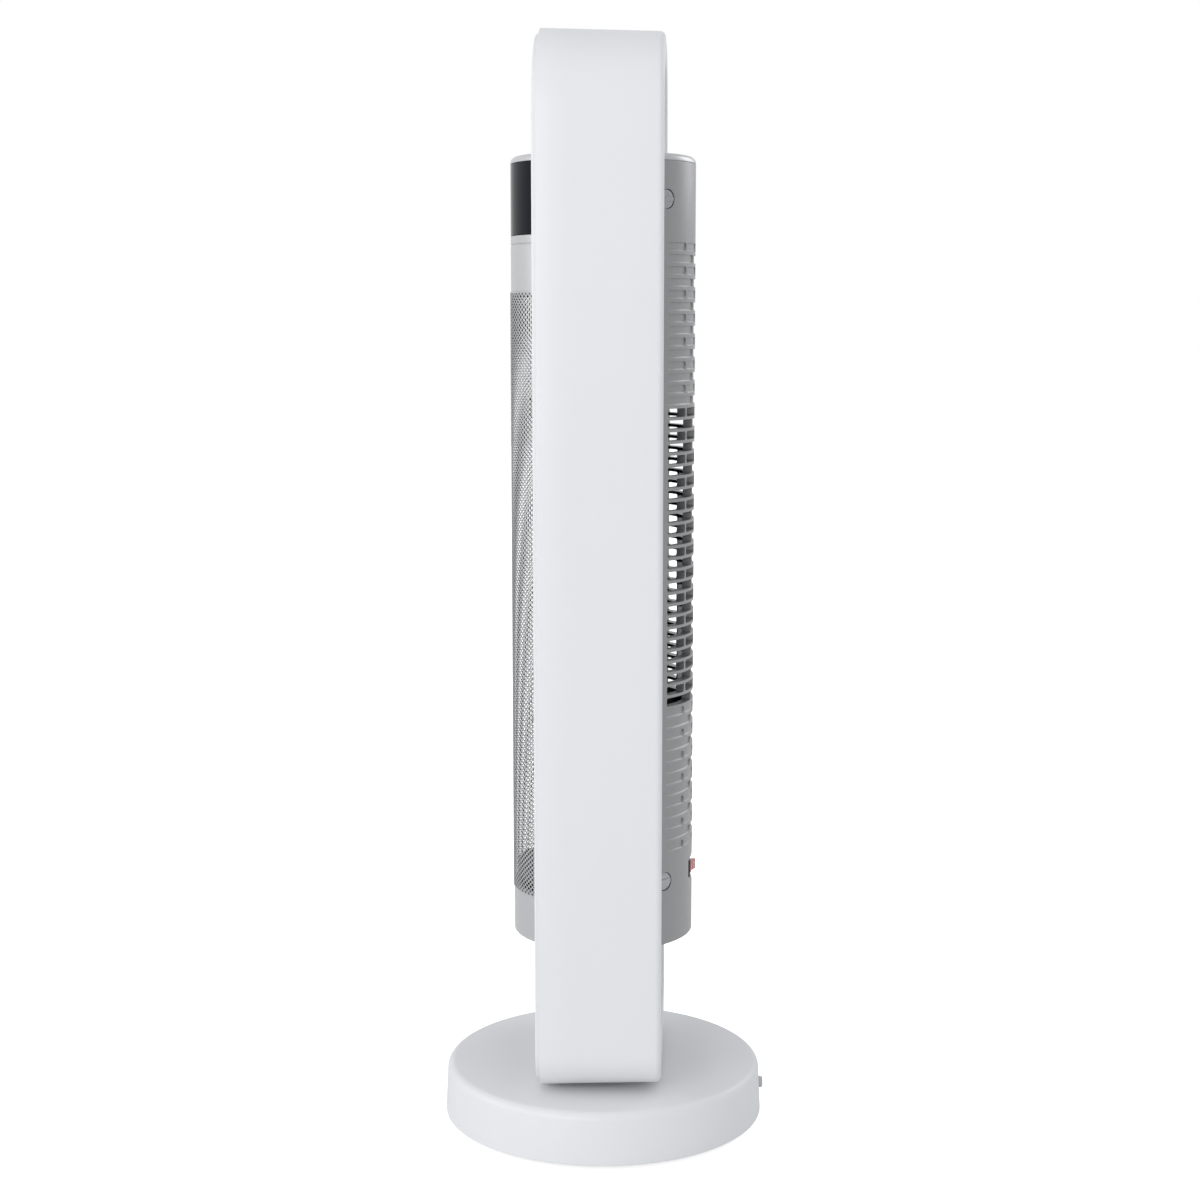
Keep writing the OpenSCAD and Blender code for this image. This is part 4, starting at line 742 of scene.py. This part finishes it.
def build_rear_shell():
    """Rear half with its slots, deep fins, switch pocket and plug seats."""
    shell = finished(turned([
        (COL_IN_R, COL_Z0, 0), (COL_R, COL_Z0, 0.5), (COL_R, COL_Z1, 0.4), (COL_IN_R, COL_Z1, 0),
    ], QUARTER_TURN - REAR_HALF, 2 * REAR_HALF, 112), "rear_shell_moulding")
    fin_z0 = VENT_Z0 + LOW_ROWS * ROW_PITCH
    fin_z1 = VENT_Z0 + OPEN_END * ROW_PITCH
    fin_r, fin_half = COL_IN_R + 0.6, VENT_HALF + 2
    fins = turned([(FIN_IN_R, fin_z0, 0), (fin_r, fin_z0, 0), (fin_r, fin_z1, 0),
                   (FIN_IN_R, fin_z1, 0)], QUARTER_TURN - fin_half, 2 * fin_half, 62)
    combined(shell, "UNION", finished(fins, "tool"))
    combined(shell, "UNION", *plug_tools(PLUG_R + 2.2, 57.8, 63))

    half_w, half_h = POCKET_W / 2, POCKET_H / 2
    pocket = block((-half_w, POCKET_Y, -half_h), (half_w, POCKET_Y + 5, half_h), 0.3)
    for vert in pocket.verts:
        vert.co.z *= 1 + POCKET_SPREAD * (vert.co.y - POCKET_Y)
    hole_w, hole_h = 8.9, 4.9
    hole = block((-hole_w, 55, -hole_h), (hole_w, 64, hole_h), 0.2)
    switch_tools = [finished(placed(shape, at(0, 0, SWITCH_Z)), "tool") for shape in (pocket, hole)]
    combined(shell, "DIFFERENCE", slots(), *switch_tools, *plug_tools(PLUG_R + 0.2, 59.8, 70),
             *pivot_holes(BUSH_HOLE_R, *BUSH_HOLE_X))
    # The rear shell takes the darker copy of the silver paint, painted shade
    dressed(shell, "shaded_silver_rear", "column", "silver_paint", "rear_shell")
    # Dark inner faces, partly bare plastic and partly painted shade
    darken_inside(shell)


def build_plugs():
    """Round metal-faced plugs, each with a raised bar across it."""
    face = COL_R - PLUG_DEEP
    seat, dish = face - 2.0, face - 0.25
    bar_w, bar_l = 1.56, PLUG_R - 0.3
    parts = []
    for angle, z in PLUG_PLACES:
        disc = turned([(0, seat, 0), (PLUG_R, seat, 0.2), (PLUG_R, face, PLUG_EDGE),
                       (PLUG_R - 1.2, face, 0.15), (PLUG_R - 1.5, dish, 0.1), (0, dish, 0)],
                      steps=64, segments=3)
        bar = block((-bar_w, -bar_l, face - 0.6), (bar_w, bar_l, face + 0.4), 0.25)
        parts += [pointing_out(disc, angle, z), pointing_out(bar, angle, z)]
    dressed(finished(joined(*parts), "plug_mouldings"), "plug", "column", "silver_paint",
            "screw_plugs")


def diamond_sheet(half_w, half_h):
    """Flat lattice of wide diamonds with sloped strands, a little larger than asked for."""
    cells = int(2 * half_w / DIAMOND_W + 2 * half_h / DIAMOND_H) + 4
    lattice = bmesh.new()
    bmesh.ops.create_grid(lattice, x_segments=cells, y_segments=cells, size=cells / 2)
    diagonal = math.sqrt(2)
    placed(lattice, Matrix.Diagonal((DIAMOND_W / diagonal, DIAMOND_H / diagonal, 1, 1)),
           by(QUARTER_TURN / 2, "Z"))
    far = [vert for vert in lattice.verts
           if abs(vert.co.x) > half_w + DIAMOND_W or abs(vert.co.y) > half_h + DIAMOND_H]
    bmesh.ops.delete(lattice, geom=far, context="VERTS")
    diamonds = lattice.faces[:]
    bmesh.ops.inset_individual(lattice, faces=diamonds, thickness=STRAND_W, depth=STRAND_SLOPE,
                               use_even_offset=True)
    bmesh.ops.delete(lattice, geom=diamonds, context="FACES_ONLY")
    bmesh.ops.solidify(lattice, geom=lattice.faces[:], thickness=STRAND_THICK)
    return lattice


def build_mesh_panel():
    """Expanded metal bent round the front of the column, with its thin edge."""
    half_z, middle = (MESH_Z1 - MESH_Z0) / 2, (MESH_Z0 + MESH_Z1) / 2
    lattice = diamond_sheet(math.radians(MESH_HALF) * MESH_R1, half_z)
    top = max(vert.co.z for vert in lattice.verts)
    for vert in lattice.verts:
        angle = vert.co.x / MESH_R1 - math.pi / 2
        radius = MESH_R1 - 0.1 + vert.co.z - top
        vert.co = (radius * math.cos(angle), radius * math.sin(angle), middle + vert.co.y)
    panel = finished(lattice, "mesh_panel")
    outer = (MESH_R0, MESH_R1, MESH_Z0, MESH_Z1, -QUARTER_TURN - MESH_HALF, 2 * MESH_HALF,
             MESH_CORNER)
    combined(panel, "INTERSECT", curved_tool(*outer))
    open_half = MESH_HALF - math.degrees(MESH_RIM / MESH_R1)
    rim = curved_tool(*outer)
    combined(rim, "DIFFERENCE", curved_tool(
        MESH_R0 - 1, MESH_R1 + 1, MESH_Z0 + MESH_RIM, MESH_Z1 - MESH_RIM,
        -QUARTER_TURN - open_half, 2 * open_half, MESH_CORNER - MESH_RIM))
    combined(panel, "UNION", rim)
    dressed(panel, "mesh", "column", "mesh_paint", "front_mesh")


def build_display_and_cap():
    """Glossy band round the front half, and the soft-edged cap over the whole column."""
    low, high = DISPLAY_Z0 + SHADOW_GAP, COL_Z1 - SHADOW_GAP
    lens = turned([(COL_IN_R, low, 0), (COL_R, low, 0.5), (COL_R, high, 0.4), (COL_IN_R, high, 0)],
                  -QUARTER_TURN - FRONT_HALF, 2 * FRONT_HALF, 128, 4)
    dressed(finished(lens, "display_panel"), "display", "column", "display_black",
            "display_lens", sharp=50)
    foot = COL_Z1 + SHADOW_GAP
    cap = turned([(0, foot, 0), (COL_R, foot, 0.3), (COL_R, CAP_TOP, 4.4), (0, CAP_TOP, 0)],
                 segments=10)
    # The cap takes the lighter copy of the silver paint, painted light
    dressed(finished(cap, "cap_moulding"), "cap", "column", "silver_paint", "top_cap")


def build_switch():
    """Bezel with its well, and the rocker with its two marks."""
    at_switch = at(0, 0, SWITCH_Z)
    inner_y, well_y, outer_y = 42.4, 55.9, 63.6
    half_w, half_h = BEZEL_W / 2, BEZEL_H / 2
    bezel = block((-half_w, inner_y, -half_h), (half_w, outer_y, half_h), 0.5)
    bezel = finished(placed(bezel, at_switch), "switch_bezel")
    well_w, well_h = half_w - BEZEL_FRAME, half_h - BEZEL_FRAME
    well = block((-well_w, well_y, -well_h), (well_w, outer_y + 4.4, well_h), 0.4)
    combined(bezel, "DIFFERENCE", finished(placed(well, at_switch), "tool"))
    dressed(bezel, "dark", "column", "black_plastic", "switch_housing")

    half_l, half_h, reach, dip = 7.0, 3.7, 4.7, 1.1
    heel, heel_l = 2.35, 2.33
    rest = at(0, SWITCH_Y, SWITCH_Z) @ by(-15, "Z")
    button = extruded(outlined([
        (-half_l, reach, 0.4), (0, reach - dip, 0), (half_l, reach, 0.4), (half_l, heel, 0),
        (heel_l, -heel, 0), (-heel_l, -heel, 0), (-half_l, heel, 0)], 3), 2 * half_h)
    placed(button, at(0, 0, half_h), by(-QUARTER_TURN, "X"))
    ends = [edge for edge in button.edges
            if abs(edge.verts[0].co.z - edge.verts[1].co.z) < WELD]
    bmesh.ops.bevel(button, geom=ends, offset=0.25, offset_type="OFFSET", segments=2, profile=0.5,
                    affect="EDGES", material=-1)
    dressed(finished(placed(button, rest), "rocker_button"), "red", "rocker", "red_plastic",
            "rocker", sharp=40)

    mark_x, mark_r, mark_w, sunk, proud = 3.8, 1.6, 0.25, -0.05, 0.07
    slope = math.degrees(math.atan(dip / half_l))

    def on_face(side):
        mark_y = reach - dip + dip * mark_x / half_l
        return rest @ at(side * mark_x, mark_y, 0) @ by(side * slope, "Z")

    bar = block((-mark_w, sunk, -mark_r), (mark_w, proud, mark_r), 0.03, 1)
    ring_in_r = mark_r - 0.45
    ring = turned([(ring_in_r, sunk, 0), (mark_r, sunk, 0), (mark_r, proud, 0),
                   (ring_in_r, proud, 0)], steps=48)
    marks = joined(placed(bar, on_face(1)), placed(ring, on_face(-1), by(-QUARTER_TURN, "X")))
    dressed(finished(marks, "rocker_marks"), "mark", "rocker", "white_plastic")


build_base()
build_loop()
build_front_shell()
build_rear_shell()
build_plugs()
build_mesh_panel()
build_display_and_cap()
build_switch()


# Stage

FLOOR_HALF = 8000
FLOOR_GLOW = 0.8
FLOOR_GLINT = 0.1
SOFT_LIGHT = 0.62
SIDE_GLINT = 0.55
REAR_FALL = 0.45

# Place, height that it points at, size and power of each lamp, in metres and watts
LAMPS = {
    "key": ((2.2, -1.2, 1.0), 0.4, (1.4, 1.4), 16.5),
    "fill": ((2.0, 1.1, 0.9), 0.4, (1.2, 1.4), 3),
    "side": ((0.4, -2.3, 1.1), 0.3, (1.2, 1.6), 9),
    "top": ((0.9, -0.2, 2.4), 0.0, (1.4, 1.4), 3),
    "rim": ((-1.5, 1.6, 1.35), 0.4, (1.0, 1.0), 6),
}


def build_floor():
    """White floor for the camera that still takes the object's shadow."""
    bm = bmesh.new()
    bmesh.ops.create_grid(bm, x_segments=1, y_segments=1, size=FLOOR_HALF)
    floor = finished(bm, "floor")
    finish = Finish("pale_floor", Roughness=0.7, Emission_Strength=1.0)
    finish.colour(finish.blend(finish.noise(4), (0.86, 0.86, 0.86), (0.88, 0.88, 0.88)))
    camera_ray = finish.node("ShaderNodeLightPath", output="Is Camera Ray")
    glossy_ray = finish.node("ShaderNodeLightPath", output="Is Glossy Ray")
    glow = camera_ray * FLOOR_GLOW + glossy_ray * FLOOR_GLINT
    finish.feed(finish.shader.inputs["Emission Color"], glow)
    floor.data.materials.append(finish.material)


def area_light(name, location, aim_z, size, power):
    """Lamp that points at a height on the object's axis."""
    data = bpy.data.lights.new(name, "AREA")
    data.shape = "RECTANGLE"
    data.size, data.size_y = size
    data.energy = power
    light = bpy.data.objects.new(name, data)
    light.location = location
    aim = Vector((0, 0, aim_z)) - light.location
    light.rotation_euler = aim.to_track_quat("-Z", "Y").to_euler()
    light.visible_camera = False
    scene.collection.objects.link(light)


def build_lights():
    """White surroundings, a little darker to the rear where they are reflected, and five lamps."""
    world = bpy.data.worlds.new("world")
    scene.world = world
    world.use_nodes = True
    world.node_tree.nodes.clear()
    sky = Graph(world.node_tree)
    soft = sky.node("ShaderNodeBackground", None, {
        "Color": (0.95, 0.97, 1.0, 1), "Strength": SOFT_LIGHT})
    seen = sky.node("ShaderNodeBackground", None, {"Color": (1, 1, 1, 1), "Strength": 1.0})
    camera_ray = sky.node("ShaderNodeLightPath", output="Is Camera Ray")
    glossy_ray = sky.node("ShaderNodeLightPath", output="Is Glossy Ray")
    transmitted_ray = sky.node("ShaderNodeLightPath", output="Is Transmission Ray")
    direction = sky.node("ShaderNodeTexCoord", output="Generated")
    to_rear = sky.node("ShaderNodeSeparateXYZ", None, {0: direction}, "Y")
    glint = glossy_ray * (SIDE_GLINT - to_rear * REAR_FALL)
    mixed = sky.node("ShaderNodeMixShader", None, {
        0: camera_ray + glint + transmitted_ray, 1: soft, 2: seen})
    output = sky.tree.nodes.new("ShaderNodeOutputWorld")
    sky.feed(output.inputs["Surface"], mixed)
    for name, lamp in LAMPS.items():
        area_light(name, *lamp)


build_floor()
build_lights()
scene.view_settings.view_transform = "Standard"
